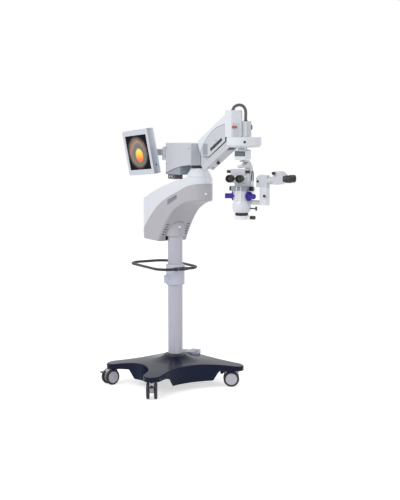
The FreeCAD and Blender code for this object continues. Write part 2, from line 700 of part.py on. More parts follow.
def make_monitor():
    px, py = MON_POST
    hub_x = MON_X + MON_T / 2 + 26
    z = MON_Z
    arm = cyl(16, 62, (px, py, z - 31))
    reach = prism_z([(px - 14, py), (px + 14, py), (hub_x + 12, MON_Y - 20),
                     (hub_x - 12, MON_Y - 20)], z - 20, z + 20)
    arm = arm.fuse(reach)
    arm = arm.fuse(box(hub_x - 12, hub_x + 12, MON_Y - 34, MON_Y - 18, z - 20, z + 20))
    arm = arm.cut(cyl(8 + RUN, 100, (px, py, z - 60)))
    arm = arm.fuse(cyl_y(7, MON_Y - 20, MON_Y + 20, hub_x, z))
    node("monitor_arm", arm.removeSplitter())

    t = MON_T / 2
    w = MON_W / 2
    h = MON_H / 2
    x0 = MON_X
    y0 = MON_Y
    case = rounded_box(x0 - t, x0 + t, y0 - w, y0 + w, z - h, z + h, 12, "x")
    case = case.cut(box(x0 - t - 1, x0 + t - 4, y0 - w + 5, y0 + w - 5,
                        z - h + 5, z + h - 5))
    ears = box(x0 + t - 1, hub_x - 2, y0 - 17.5, y0 + 17.5, z - 26, z + 26)
    ears = ears.fuse(cyl_y(13, y0 - 17.5, y0 + 17.5, hub_x, z))
    frame = rounded_box(x0 - t - 4, x0 - t, y0 - w, y0 + w, z - h, z + h, 12, "x")
    frame = frame.cut(box(x0 - t - 9, x0 - t + 9, y0 - 153, y0 + 153, z - 115, z + 115))
    screen = box(x0 - t, x0 - t + 14, y0 - 158, y0 + 158, z - 120, z + 120)
    post = box(x0 - t + 14, x0 + t - 4, y0 - 60, y0 + 60, z - 60, z + 60)
    tilted = monitor_place(case)
    room = monitor_place(box(x0 - t - 1, x0 + t - 4, y0 - w + 5, y0 + w - 5,
                             z - h + 5, z + h - 5))
    ears = ears.cut(room)
    joint = cyl_y(7 + RUN, y0 - 60, y0 + 60, hub_x, z)
    back = box(x0 + t - 4, x0 + t + 6, y0 - 40, y0 + 40, z - 40, z + 40)
    tilted = tilted.fuse(ears).fuse(monitor_place(back)).cut(joint)
    tilted = tilted.cut(box(hub_x - 13, hub_x + 20, y0 - 60, y0 - 17.5, z - 30, z + 30))
    node("monitor_case", tilted.removeSplitter(), monitor_place(frame))
    node("monitor_panel", monitor_place(screen), monitor_place(post))


# Spring arm

def slot_outline(pivot, length, half):
    """Closed face of a link: parallel sides and a round end at each pivot."""
    a = math.radians(ARM_RISE)
    run = V(0, -math.cos(a), math.sin(a))
    up = V(0, math.sin(a), math.cos(a))
    start = V(0, *pivot)
    end = start + run * length
    edges = [Part.LineSegment(start + up * half, end + up * half),
             Part.Arc(end + up * half, end + run * half, end - up * half),
             Part.LineSegment(end - up * half, start - up * half),
             Part.Arc(start - up * half, start - run * half, start + up * half)]
    return Part.Face(Part.Wire([e.toShape() for e in edges]))


def link_plates(pivot, half, x_in, x_out, bore, far_bore):
    """Two equal plates at the sides of a link, drilled for both pins."""
    solids = []
    face = slot_outline(pivot, ARM_LENGTH, half)
    end = along_link(ARM_LENGTH, 0, pivot)
    for x0, x1 in ((x_in, x_out), (-x_out, -x_in)):
        plate = face.translated(V(x0, 0, 0)).extrude(V(x1 - x0, 0, 0))
        plate = plate.cut(cyl_x(bore, x0 - 1, x1 + 1, *pivot))
        plate = plate.cut(cyl_x(far_bore, x0 - 1, x1 + 1, *end))
        solids.append(plate)
    return solids


def make_arm():
    left, right = link_plates(REAR_PIVOT, 26, PLATE_IN, PLATE_OUT, PIN_R + RUN,
                              PIN_R + RUN)
    bridge = prism_x([along_link(70, 14), along_link(230, 14), along_link(230, 22),
                      along_link(70, 22)], -PLATE_IN, PLATE_IN)
    anchor = prism_x([along_link(70, -24), along_link(86, -24), along_link(86, 14),
                      along_link(70, 14)], -PLATE_IN, PLATE_IN)
    far = prism_x([along_link(214, -24), along_link(230, -24), along_link(230, 14),
                   along_link(214, 14)], -PLATE_IN, PLATE_IN)
    # lugs that hold the cover
    beam = left.fuse(right).fuse(bridge).fuse(anchor).fuse(far)
    for s in (120, 200):
        lug = prism_x([along_link(s, 0), along_link(s + 20, 0),
                       along_link(s + 20, 14), along_link(s, 14)],
                      PLATE_OUT, COVER_IN)
        beam = beam.fuse(lug).fuse(lug.mirror(V(), X_AXIS))
    node("arm_beam", beam.removeSplitter())

    y, z = along_link(86, -6)
    a = math.radians(ARM_RISE)
    run = V(0, -math.cos(a), math.sin(a))
    barrel = Part.makeCylinder(13, 84, V(0, y, z), run)
    rod = Part.makeCylinder(5, 44, V(0, y, z) + run * 84, run)
    node("arm_gas_spring", barrel.fuse(rod))

    low = COVER_LOW
    ry, rz = REAR_PIVOT
    front_low, front_top = HEAD_BOTTOM + 17, HEAD_BOTTOM + 137
    outline = [(ry + 80, rz + 48), (ry + 80, rz + 17), (ry + 44, rz - 45),
               along_link(28, -low), along_link(ARM_LENGTH - 80, -low),
               (HEAD_BACK + 9, front_low), (HEAD_BACK + 5, front_top)]
    t = COVER_OUT - COVER_IN
    cavity = [(ry + 96, rz + 52), (ry + 96, rz - 45), (ry + 44, rz - 145),
              along_link(28, -low - 40), along_link(ARM_LENGTH, -low - 40),
              (HEAD_BACK - 30, front_low), (HEAD_BACK - 30, front_top + 14.5 - t)]
    cover = prism_x(outline, -COVER_OUT, COVER_OUT)
    cover = cover.cut(prism_x(cavity, -COVER_IN, COVER_IN))
    node("arm_cover", cover)

    left, right = link_plates(REAR_LOWER, LINK_R, LINK_IN, LINK_OUT, PIN_R + RUN,
                              PIN_R + OPEN_PIN)
    floor = prism_x([along_link(36, -LINK_R, REAR_LOWER),
                     along_link(ARM_LENGTH - 40, -LINK_R, REAR_LOWER),
                     along_link(ARM_LENGTH - 40, -LINK_R + 5, REAR_LOWER),
                     along_link(36, -LINK_R + 5, REAR_LOWER)], -LINK_IN, LINK_IN)
    node("lower_link", left.fuse(right).fuse(floor).removeSplitter())


# Arm head with the lamp box and the hose

def make_head():
    w = HEAD_WALL
    shell = box(-HEAD_HALF, HEAD_HALF, HEAD_FRONT, HEAD_BACK, HEAD_BOTTOM, HEAD_TOP)
    edges = [e for e in shell.Edges
             if abs(e.tangentAt(0).z) > 0.9 and e.Vertexes[0].Y < HEAD_FRONT + 1]
    shell = shell.makeFillet(8, edges)
    shell = shell.cut(box(-HEAD_HALF + w, HEAD_HALF - w, HEAD_FRONT + w,
                          HEAD_BACK + 5, HEAD_BOTTOM + w, HEAD_TOP - w))
    shell = shell.cut(cyl(HOSE_HOLE_R, 10, (-18, HEAD_FRONT + 15, HEAD_TOP - 6)))
    py, pz = FRONT_PIVOT
    ly, lz = FRONT_LOWER
    web = prism_x([(HEAD_FRONT + 2, HEAD_BOTTOM + 2), (HEAD_FRONT + 2, pz + 22),
                   (py - 4, pz + 14), (py + 14, pz), (ly + 12, lz + 6),
                   (ly + 4, lz - 14), (ly - 12, lz - 8), (ly - 14, HEAD_BOTTOM - 1),
                   (ly - 14, HEAD_BOTTOM + 2)], -10, 10)
    shell = shell.fuse(web)
    shell = shell.cut(cyl_y(LEVER_PIN_R + RUN, HEAD_FRONT - 1, HEAD_FRONT + 6, -12, LEVER_Z))
    shell = shell.fuse(cyl_x(BOSS_R, -PLATE_IN + SEAT, PLATE_IN - SEAT, py, pz))
    shell = shell.fuse(cyl_x(BOSS_R, -LINK_IN + SEAT, LINK_IN - SEAT, ly, lz))
    shell = shell.fuse(cyl_x(PIN_R, -PIN_HALF, PIN_HALF, py, pz))
    shell = shell.fuse(cyl_x(PIN_R, -LOWER_PIN_HALF, LOWER_PIN_HALF, ly, lz))
    node("head_housing", shell.removeSplitter())

    x0, x1, y0, y1, z0, z1 = LAMP
    lamp = rounded_box(x0, x1, y0, y1, z0, z1, 6)
    inner = box(x0 + 3, x1 - 3, y0 + 3, y1 - 3, z0 + 3, z1 - 3)
    lamp = lamp.cut(inner).cut(cyl(HOSE_HOLE_R, 10, (x0 + 12, y0 + 16, z1 - 6)))
    filters = cyl_x(26, x0 + 14, x1 - 12, y0 + 42, z0 + 50)
    post = box(x0 + 20, x1 - 20, y0 + 30, y0 + 54, z0 + 3, z0 + 26)
    node("lamp_box", lamp, filters.fuse(post))

    lever = cyl_y(LEVER_PIN_R, HEAD_FRONT - 8, HEAD_FRONT + 4, -12, LEVER_Z)
    arm = rounded_box(-34, -4, HEAD_FRONT - 9, HEAD_FRONT - 1, LEVER_Z - 8, LEVER_Z + 8, 7.5,
                      "y")
    node("release_lever", lever.fuse(arm).removeSplitter())

    x_end, y_end = x0 + 12, -784
    route = [(-18, -752, 1812), (-17, -753, 1830), (-4, -758, 1845),
             (14, -766, 1853), (34, -775, 1849), (45, -781, 1834),
             (x_end + 1, y_end, 1812), (x_end, y_end + 1, 1780), (x_end, y_end, 1747)]
    hose = tube_along([V(*p) for p in route], HOSE_R)
    node("light_hose", hose.translated(V(0, y0 + 16 - y_end, z1 - 6 - route[-1][2])))


def tube_along(points, r):
    """A round tube on straight runs joined by the largest fitting arcs."""
    edges = []
    at = points[0]
    for i in range(1, len(points) - 1):
        a = points[i] - points[i - 1]
        b = points[i + 1] - points[i]
        turn = a.getAngle(b)
        reach = 0.45 * min(a.Length, b.Length)
        radius = reach / math.tan(turn / 2)
        a.normalize()
        b.normalize()
        start = points[i] - a * reach
        end = points[i] + b * reach
        inward = (b - a).normalize()
        centre = points[i] + inward * (radius / math.cos(turn / 2))
        middle = centre - inward * radius
        edges.append(Part.LineSegment(at, start).toShape())
        edges.append(Part.Arc(start, middle, end).toShape())
        at = end
    edges.append(Part.LineSegment(at, points[-1]).toShape())
    path = Part.Wire(edges)
    circle = Part.Circle(points[0], points[1] - points[0], r).toShape()
    tube = path.makePipeShell([Part.Wire(circle)], True, False)
    return tube


# Positioning unit

def make_positioner():
    z0, z1 = DISC_BOTTOM, HEAD_BOTTOM
    at = (0, DISC_Y)
    b = DISC_BEVEL
    w = DISC_WALL
    disc = lathe([(0, z0), (DISC_R - b, z0), (DISC_R, z0 + b), (DISC_R, z1 - 3),
                  (DISC_R - 3, z1), (0, z1)], at)
    inner = lathe([(0, z0 + w), (DISC_R - b - 1, z0 + w), (DISC_R - w, z0 + b + 1),
                   (DISC_R - w, z1 - w), (0, z1 - w)], at)
    disc = disc.cut(inner).cut(cyl(SLOT_R, 20, (0, AXIS_Y, z0 - 5)))
    disc = disc.cut(cyl_y(7.5, DISC_Y - DISC_R - 5, DISC_Y - DISC_R + 12, 0, DISC_BOTTOM + 32)
                    .rotated(V(0, DISC_Y, 0), Z_AXIS, TURN + 25))
    for side in (-1, 1):
        rail = box(54, 62, AXIS_Y - 56, AXIS_Y + 56, z1 - 9, z1 - w)
        disc = disc.fuse(rail if side > 0 else rail.mirror(V(), X_AXIS))
    node("positioner_housing", disc.removeSplitter())

    button = cyl_y(7.0, DISC_Y - DISC_R - 3, DISC_Y - DISC_R + 8, 0, DISC_BOTTOM + 32)
    button = button.rotated(V(0, DISC_Y, 0), Z_AXIS, TURN + 25)
    node("reset_button", button)

    plate_z = z1 - 9 - SEAT
    plate = box(-62, 62, AXIS_Y - 42, AXIS_Y + 42, plate_z - 9, plate_z)
    for side in (-1, 1):
        rail = box(-58, 58, AXIS_Y + 26, AXIS_Y + 34, plate_z - 13, plate_z - 9)
        plate = plate.fuse(rail if side > 0
                           else rail.translated(V(0, -60, 0)))
    node("cross_slide", plate.removeSplitter())
    low_z = plate_z - 13 - SEAT
    slide = box(-38, 38, AXIS_Y - 38, AXIS_Y + 38, low_z - 9, low_z)
    foot = BLOCK_TOP + HANG_Z - 26
    slide = slide.fuse(cyl(STEM2_R, low_z - foot, (0, AXIS_Y, foot)))
    node("long_slide", slide.removeSplitter())


# Microscope

def scope(shape):
    """From the microscope's own frame to the stand's."""
    return placed(shape, TURN, (0, AXIS_Y, HANG_Z))


def make_suspension():
    block = rounded_box(-BLOCK_HALF, BLOCK_HALF, -BLOCK_BACK, BLOCK_BACK,
                        BLOCK_BOTTOM, BLOCK_TOP, 12, "y")
    block = block.cut(cyl(STEM2_R + RUN, 40, (0, 0, BLOCK_TOP - 26)))
    block = block.cut(box(-32, 32, -BLOCK_BACK - 1, -BLOCK_BACK + 3,
                          BLOCK_BOTTOM + 22, BLOCK_BOTTOM + 50))
    block = block.cut(cyl(GUIDE_R + RUN, 40, (0, 14, BLOCK_BOTTOM - 1)))
    window = box(-32, 32, -BLOCK_BACK, -BLOCK_BACK + 3, BLOCK_BOTTOM + 22,
                 BLOCK_BOTTOM + 50)
    node("display_block", scope(block), scope(window))

    z = BLOCK_BOTTOM - 4
    h = YOKE_HALF
    arm = prism_x([(-6, z), (70, z), (97, 1502), (121, 1478), (138, 1432),
                   (138, TILT[1] - 16), (TILT[0] - 22, TILT[1] - 16), (92, 1440),
                   (74, 1478), (-30, 1480), (-44, 1486), (-42, 1492), (18, 1498),
                   (44, 1508), (42, 1514), (-6, 1514)], -h, h)
    arm = arm.fuse(cyl(GUIDE_R, 37, (0, 14, z - 4)))
    arm = arm.cut(cyl_x(TILT_PIN_R + RUN, -30, 30, *TILT))
    node("suspension_arm", scope(arm.removeSplitter()))


def make_microscope():
    h = YOKE_HALF
    barrel = lathe([(0, BODY_BOTTOM), (37, BODY_BOTTOM), (44, BODY_BOTTOM + 22),
                    (BODY_R, BODY_BOTTOM + 46), (BODY_R, BODY_TOP), (0, BODY_TOP)])
    back = rounded_box(-34, 34, 0, 88, 1278, BODY_TOP - 6, 10)
    body = barrel.translated(V(0, BODY_Y, 0)).fuse(back)
    ty, tz = TILT
    for side in (-1, 1):
        ear = prism_x([(80, tz - 30), (ty, tz - 16), (ty + 17, tz), (ty, tz + 16),
                       (80, tz + 24)], h + SEAT, h + 13)
        body = body.fuse(ear if side > 0 else ear.mirror(V(), X_AXIS))
    body = body.fuse(cyl_x(TILT_PIN_R, -h - 6, h + 6, ty, tz))
    # duct to the assistant's microscope
    duct = rounded_box(20, SIDE_X - SIDE_HALF, -4, 25, SIDE_BOTTOM, 1288, 8, "x")
    body = body.fuse(duct)
    optics = cyl(30, BODY_TOP - BODY_BOTTOM + 10, (0, BODY_Y, BODY_BOTTOM - 5))
    body = body.cut(optics)
    body = body.cut(cyl_x(5 + RUN, -100, 100, BODY_Y, KNOB_Z))
    for side in (-1, 1):
        body = body.cut(knob_bore(side))
    body = body.cut(cyl_x(4 + RUN, 20, 60, -8, 1240))
    node("microscope_body", scope(body.removeSplitter()))

    changer = lathe([(11, 1250), (29.7, 1250), (29.7, 1340), (11, 1340)])
    lens = cyl(11, 6, (0, 0, 1290))
    changer = changer.fuse(lens).translated(V(0, BODY_Y, 0))
    node("zoom_optics", scope(changer))

    cell = cyl(37, 17, (0, BODY_Y, BODY_BOTTOM - 17))
    for i in range(10):
        a = math.radians(36 * i)
        cell = cell.cut(cyl(6, 20, (41 * math.cos(a), BODY_Y + 41 * math.sin(a),
                                    BODY_BOTTOM - 18)))
    cell = cell.cut(cyl(26, 30, (0, BODY_Y, BODY_BOTTOM - 20)))
    glass = cyl(26, 8, (0, BODY_Y, BODY_BOTTOM - 12))
    node("objective", scope(cell), scope(glass))

    z1 = BODY_BOTTOM - 17 - SEAT
    ring = cyl(43, 22, (0, BODY_Y, z1 - 22)).fuse(box(20, 56, BODY_Y - 14, BODY_Y + 14,
                                                     z1 - 22, z1 - 2))
    ring = ring.cut(cyl(31, 40, (0, BODY_Y, z1 - 30)))
    ring = ring.cut(cyl_x(4 + RUN, 30, 70, BODY_Y, z1 - 11))
    node("accessory_ring", scope(ring.removeSplitter()))
    knob = cyl_x(11, 57, 86, BODY_Y, z1 - 11).fuse(cyl_x(4, 46, 58, BODY_Y, z1 - 11))
    node("ring_clamp_knob", scope(knob))


def knob_bore(side):
    axis = V(side * math.cos(math.radians(GRIP_ANGLE)),
             -math.sin(math.radians(GRIP_ANGLE)), 0)
    return cyl(6 + RUN, 60, (0, 0, GRIP_Z), axis)


def make_controls():
    for side, name in ((-1, "left"), (1, "right")):
        axis = V(side * math.cos(math.radians(GRIP_ANGLE)),
                 -math.sin(math.radians(GRIP_ANGLE)), 0)
        start = axis * 53 + V(0, 0, GRIP_Z)
        flange = Part.makeCylinder(28, 9, start, axis)
        handle = Part.makeCylinder(16, 42, start + axis * 9, axis)
        cap_edges = [e for e in handle.Edges if len(e.Vertexes) == 1]
        handle = handle.makeFillet(5, cap_edges[:1])
        shaft = Part.makeCylinder(6, 16, axis * 38 + V(0, 0, GRIP_Z), axis)
        node(f"hand_knob_{name}", scope(flange.fuse(handle).fuse(shaft)))

    shaft = cyl_x(5, -58, 56, BODY_Y, KNOB_Z)
    knobs = shaft.fuse(cyl_x(FOCUS_KNOB_R, -76, -58, BODY_Y, KNOB_Z))
    knobs = knobs.fuse(cyl_x(FOCUS_KNOB_R, 52, 74, BODY_Y, KNOB_Z))
    node("focus_knobs", scope(knobs))

    lever = cyl_x(4, 40, 92, -8, 1240).fuse(cyl(6, 24, (92, -8, 1228)))
    node("filter_lever", scope(lever))


def eyepiece(x):
    y = TUBE_Y
    tube = cyl_y(15, y - 58, y - 28.3, x, EYE_Z)
    barrel = cyl_y(20, y - 76, y - 54, x, EYE_Z)
    cup = cyl_y(23, y - 86, y - 70, x, EYE_Z)
    hole = Part.makeCone(19, 12, 10, V(x, y - 87, EYE_Z), Y_AXIS)
    return tube.fuse(barrel).fuse(cup).cut(hole)


def make_binocular():
    y = TUBE_Y
    house = prism_x([(y - 26, 1440), (y - 26, TUBE_TOP), (y + 34, TUBE_TOP),
                     (y + 34, 1408), (y + 12, 1392), (y - 12, 1392)],
                    -TUBE_HALF, TUBE_HALF)
    drum = cyl_x(DRUM_R, -50, 50, y, EYE_Z)
    foot = rounded_box(-36, 36, BODY_Y - 36, BODY_Y + 36, BODY_TOP, 1396, 12)
    house = house.fuse(drum).fuse(foot)
    house = house.cut(cyl_x(5 + RUN, -60, 60, y - 15, 1458))
    node("binocular_tube", scope(house.removeSplitter()))
    for side, name in ((-1, "left"), (1, "right")):
        node(f"eyepiece_{name}", scope(eyepiece(side * EYE_HALF)))
    knob = cyl_x(5, -50, 50, y - 15, 1458)
    for side in (-1, 1):
        x0 = 48 if side > 0 else -72
        knob = knob.fuse(cyl_x(9, x0, x0 + 24, y - 15, 1458))
    node("spacing_knob", scope(knob))


def make_assistant():
    x0, x1 = SIDE_X - SIDE_HALF, SIDE_X + SIDE_HALF
    house = rounded_box(x0, x1, -SIDE_HALF, SIDE_HALF, SIDE_BOTTOM, SIDE_TOP, 9)
    house = house.fuse(cyl_y(6, -SIDE_HALF - 8, 0, SIDE_X + 12, 1317))
    house = house.cut(cyl(18, 200, (SIDE_X, 0, SIDE_TOP - 30)))
    node("assistant_housing", scope(house))

    z = SIDE_TOP + SEAT
    head = prism_y([(SIDE_X - 46, z), (SIDE_X + 22, z), (SIDE_X + 22, 1436),
                    (SIDE_X - 24, 1440), (SIDE_X - 46, 1424)], -22, 22)
    head = head.fuse(cyl(18 - RUN, 24, (SIDE_X, 0, z - 22)))
    head = head.fuse(cyl_x(22, SIDE_X + 20, SIDE_X + 44, 0, SIDE_EYE_Z - 12))
    node("assistant_head", scope(head.removeSplitter()))

    xt = SIDE_X + 44 + SEAT
    bino = cyl_x(20, xt, xt + 26, 0, SIDE_EYE_Z - 12)
    bino = bino.fuse(prism_y([(xt + 22, 1386), (xt + 60, 1386), (xt + 84, 1400),
                              (xt + 84, 1438), (xt + 60, 1460), (xt + 28, 1462),
                              (xt + 22, 1440)], -44, 44))
    bino = bino.fuse(cyl_y(9, -60, -40, xt + 30, 1452))
    cups = []
    for side in (-1, 1):
        y = side * EYE_HALF
        tube = cyl_x(15, xt + 84, xt + 100, y, SIDE_EYE_Z)
        cup = cyl_x(22, xt + 98, xt + 132, y, SIDE_EYE_Z)
        cups.append(tube.fuse(cup).cut(Part.makeCone(12, 18, 10, V(xt + 123, y,
                                                             SIDE_EYE_Z), X_AXIS)))
    node("assistant_binocular", scope(bino.removeSplitter()), *[scope(c) for c in cups])


def main():
    make_base()
    make_casters()
    make_handle()
    make_neck()
    make_carriage()
    make_monitor()
    make_arm()
    make_head()
    make_positioner()
    make_suspension()
    make_microscope()
    make_controls()
    make_binocular()
    make_assistant()
    os.makedirs("parts", exist_ok=True)
    for name, shape in NODES.items():
        bad = "" if shape.isValid() else "  NOT VALID"
        print("%-28s solids %2d  volume %10.0f%s"
              % (name, len(shape.Solids), shape.Volume, bad))
        shape.exportStep("parts/%s.step" % name)
    print("nodes", len(NODES))


main()
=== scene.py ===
"""Dresses the packed model of a surgical microscope on a wheeled floor stand.

Lengths are in millimetres unless a comment says otherwise, and become metres where a mesh
is made. X points to the stand's right, -Y ahead along the arm and Z up, from the floor
under the column.
"""
import json
import math

import bmesh
import bpy
import numpy as np
from bpy.props import FloatProperty, FloatVectorProperty, PointerProperty
from bpy.types import Operator, Panel, PropertyGroup
from mathutils import Matrix


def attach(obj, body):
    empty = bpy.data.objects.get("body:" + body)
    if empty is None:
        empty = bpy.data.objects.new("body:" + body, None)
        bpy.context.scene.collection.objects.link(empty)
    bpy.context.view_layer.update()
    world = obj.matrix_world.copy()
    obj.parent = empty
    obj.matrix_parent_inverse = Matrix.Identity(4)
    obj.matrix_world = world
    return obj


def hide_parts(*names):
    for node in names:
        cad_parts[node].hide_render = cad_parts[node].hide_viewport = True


bl_info = {
    "name": "Surgical Microscope on a Floor Stand",
    "version": (1, 0, 0),
    "blender": (4, 5, 0),
    "location": "View3D > Sidebar > Microscope",
    "description": "Dresses the microscope and its floor stand, piece by piece",
    "category": "Object",
}

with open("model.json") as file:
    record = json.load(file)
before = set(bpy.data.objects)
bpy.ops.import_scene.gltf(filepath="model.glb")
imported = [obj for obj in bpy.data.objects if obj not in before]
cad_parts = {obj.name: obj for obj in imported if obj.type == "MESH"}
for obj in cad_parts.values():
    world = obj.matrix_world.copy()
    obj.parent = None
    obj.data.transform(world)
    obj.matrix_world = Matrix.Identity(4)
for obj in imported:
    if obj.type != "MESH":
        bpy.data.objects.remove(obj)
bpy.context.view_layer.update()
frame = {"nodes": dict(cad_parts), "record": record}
BODY_OF = {node: body for body, nodes in frame["record"]["behaviour"]["bodies"].items()
           for node in nodes}

MM = 0.001                      # a millimetre in metres
UP = (0, 0, 1)
AHEAD = (0, -1, 0)
SIDES = ((-1, "left"), (1, "right"))

# Base and casters. Angles are in degrees from straight ahead, towards the right.
ARM_ANGLES = (-50.0, 50.0, 145.0, 240.0)
VALLEY_R = (215.0, 255.0, 215.0, 255.0)         # hollow after each arm
BASE_REACH = 463.0
TIP_R = 58.0
HUB_R = 51.0                                    # where the cover meets the column
SHELL_WALL = 4.0
SKIRT_R, SKIRT_Z = 285.0, 50.0                  # up to this radius the skirt hangs this low
RISE_R, RISE_Z = 317.0, 110.0                   # from this one on, only this low
BOX_ANGLE = 120.0                               # connector box, and its sockets' plane
BOX_FACE_R, SOCKET_Z = 289.5, 170.0
CASTERS = {"front_left": (-50, -30), "front_right": (50, -120),     # arm, turn
           "rear_right": (145, 60), "rear_left": (240, -80)}
CASTER_R = 412.0                                # from the column to a caster's stem
CASTER_TRAIL = 32.0
WHEEL_R = 52.5
HUB_HALF_GAP = 15.0

# Column, push handle and swan neck
COLUMN_LOW, COLUMN_TOP, COLUMN_R = 136.0, 1150.0, 49.0
HANDLE_Z = 787.0
HANDLE_HALF_WIDTH = 151.0
HANDLE_FRONT_Y, HANDLE_BACK_Y = -80.0, 400.0
HANDLE_CORNER_R = 90.0
BEARING_Y = -317.0
JOINT_FRONT = -0.3              # in metres: the neck's joint runs ahead of this Y

# Monitor and spring arm
SCREEN_CENTRE = (-148.0, 196.0, 1552.0)
SCREEN_WIDTH, SCREEN_HEIGHT = 305.2, 229.2
GLASS_FORWARD = 23.0            # from the monitor's centre to its glass
ARM_RISE = math.radians(26.65)
ARM_PIVOT_Y, ARM_PIVOT_Z = -446.0, 1585.0
ARM_HALF_WIDTH = 35.0
LEVER_Z = 1718.0
LEVER_PLATE_Y = -767.0

# Microscope, in its own frame: X across it, -Y towards the surgeon
SCOPE_TURN = math.radians(-55.0)
SCOPE_Y = -834.0                # of its swivel axis, in the stand's frame
OPTICS_Y = -10.0
EYE_HALF_SPACING = 31.0
EYE_Y, EYE_Z = -47.0, 1419.0
FOCUS_Z = 1356.0
RING_CLAMP_Z = 1185.7
READOUT_Y, READOUT_Z = -40.0, 1562.0
ASSISTANT_X = 186.3             # of the assistant's binocular


def srgb(r, g, b):
    """A paint chart's red, green and blue made linear.

    Each is v / 12.92 up to 0.04045, and ((v + 0.055) / 1.055) ^ 2.4 above it.
    """
    c = np.array([r, g, b]) / 255.0
    out = np.where(c <= 0.04045, c / 12.92, ((c + 0.055) / 1.055) ** 2.4)
    return tuple(float(v) for v in out)


# Settings that a user would change

class MicroscopeColours(PropertyGroup):
    base: FloatVectorProperty(name="Base", description="Enamel of the wheeled base",
                              default=srgb(14, 22, 50), subtype="COLOR", size=3)
    shell: FloatVectorProperty(name="Shells", description="White enamel of the housings",
                               default=srgb(232, 236, 243), subtype="COLOR", size=3)
    neck: FloatVectorProperty(name="Neck", description="Lower covers of the swan neck",
                              default=srgb(188, 187, 194), subtype="COLOR", size=3)
    box: FloatVectorProperty(name="Carriage", description="Enamel of the carriage box",
                             default=srgb(205, 208, 214), subtype="COLOR", size=3)
    column: FloatVectorProperty(name="Column", description="Enamel of the column",
                                default=srgb(186, 187, 199), subtype="COLOR", size=3)
    knob: FloatVectorProperty(name="Hand knobs", description="Sterilisable hand knobs",
                              default=srgb(52, 38, 148), subtype="COLOR", size=3)
    lever: FloatVectorProperty(name="Release lever", description="Lever on the arm's head",
                               default=srgb(196, 84, 40), subtype="COLOR", size=3)


class MicroscopeSizes(PropertyGroup):
    edge: FloatProperty(name="Edge", description="Rounding of moulded edges",
                        default=0.0022, min=0.0, unit="LENGTH")
    rim: FloatProperty(name="Base rim", description="Rounding along the base's rim",
                       default=0.008, min=0.0, unit="LENGTH")
    light: FloatProperty(name="Room light", description="Strength of the room's light",
                         default=0.55, min=0.0)


def colours():
    """The user's colours."""
    return bpy.context.scene.microscope_colours


def sizes():
    """The user's sizes, in metres, and light."""
    return bpy.context.scene.microscope_sizes


# Shader nodes

def feed(tree, node, values):
    """Sets each input to its value, or links it where the value is another node's output."""
    for socket, value in dict(values).items():
        if hasattr(value, "links"):
            tree.links.new(value, node.inputs[socket])
        else:
            node.inputs[socket].default_value = value


def add_node(tree, kind, values=(), **settings):
    """A new shader node with these settings and inputs."""
    node = tree.nodes.new("ShaderNode" + kind)
    for key, value in settings.items():
        setattr(node, key, value)
    feed(tree, node, values)
    return node


def maths(tree, operation, *values, clamp=False):
    """What one Math node makes of the values."""
    return add_node(tree, "Math", enumerate(values), operation=operation,
                    use_clamp=clamp).outputs[0]


def noise(tree, vector, scale, detail=4.0, rough=0.55):
    """Noise from 0 to 1 over the vector."""
    return add_node(tree, "TexNoise", {"Vector": vector, "Scale": scale, "Detail": detail,
                                       "Roughness": rough}).outputs["Fac"]


def spread(tree, value, low, high, to_low=0.0, to_high=1.0):
    """The value moved from the range low to high into the range to_low to to_high."""
    return add_node(tree, "MapRange", {"Value": value, "From Min": low, "From Max": high,
                                       "To Min": to_low, "To Max": to_high}).outputs["Result"]


def mix_colour(tree, factor, a, b, kind="MIX"):
    """Colour a passing into colour b as the factor goes from 0 to 1."""
    return add_node(tree, "Mix", {0: factor, 6: a, 7: b}, data_type="RGBA",
                    blend_type=kind).outputs[2]


def apart(tree, vector):
    """X, Y and Z of the vector."""
    return add_node(tree, "SeparateXYZ", {0: vector}).outputs


def length_of(tree, x, y):
    """The root of x squared plus y squared."""
    return maths(tree, "SQRT", maths(tree, "ADD", maths(tree, "MULTIPLY", x, x),
                                     maths(tree, "MULTIPLY", y, y)))


def off_middle(tree, value):
    """The value less a half, so that noise swings both ways."""
    return maths(tree, "SUBTRACT", value, 0.5)


def kept_as(store, name):
    """Wraps a builder: its data block is made once, under this name, and then returned."""
    def wrap(build):
        """The builder, called only where the name isn't there yet."""
        def get():
            return getattr(bpy.data, store).get(name) or build(name)
        get.__doc__ = build.__doc__
        return get
    return wrap


def new_group(name, inputs, outputs):
    """A shader group with inputs (name, type, default) and outputs (name, type)."""
    group = bpy.data.node_groups.new(name, "ShaderNodeTree")
    for label, kind, default in inputs:
        socket = group.interface.new_socket(label, in_out="INPUT",
                                            socket_type="NodeSocket" + kind)
        if default is not None:
            socket.default_value = default
    for label, kind in outputs:
        group.interface.new_socket(label, in_out="OUTPUT", socket_type="NodeSocket" + kind)
    given = group.nodes.new("NodeGroupInput").outputs
    return group, given, group.nodes.new("NodeGroupOutput")


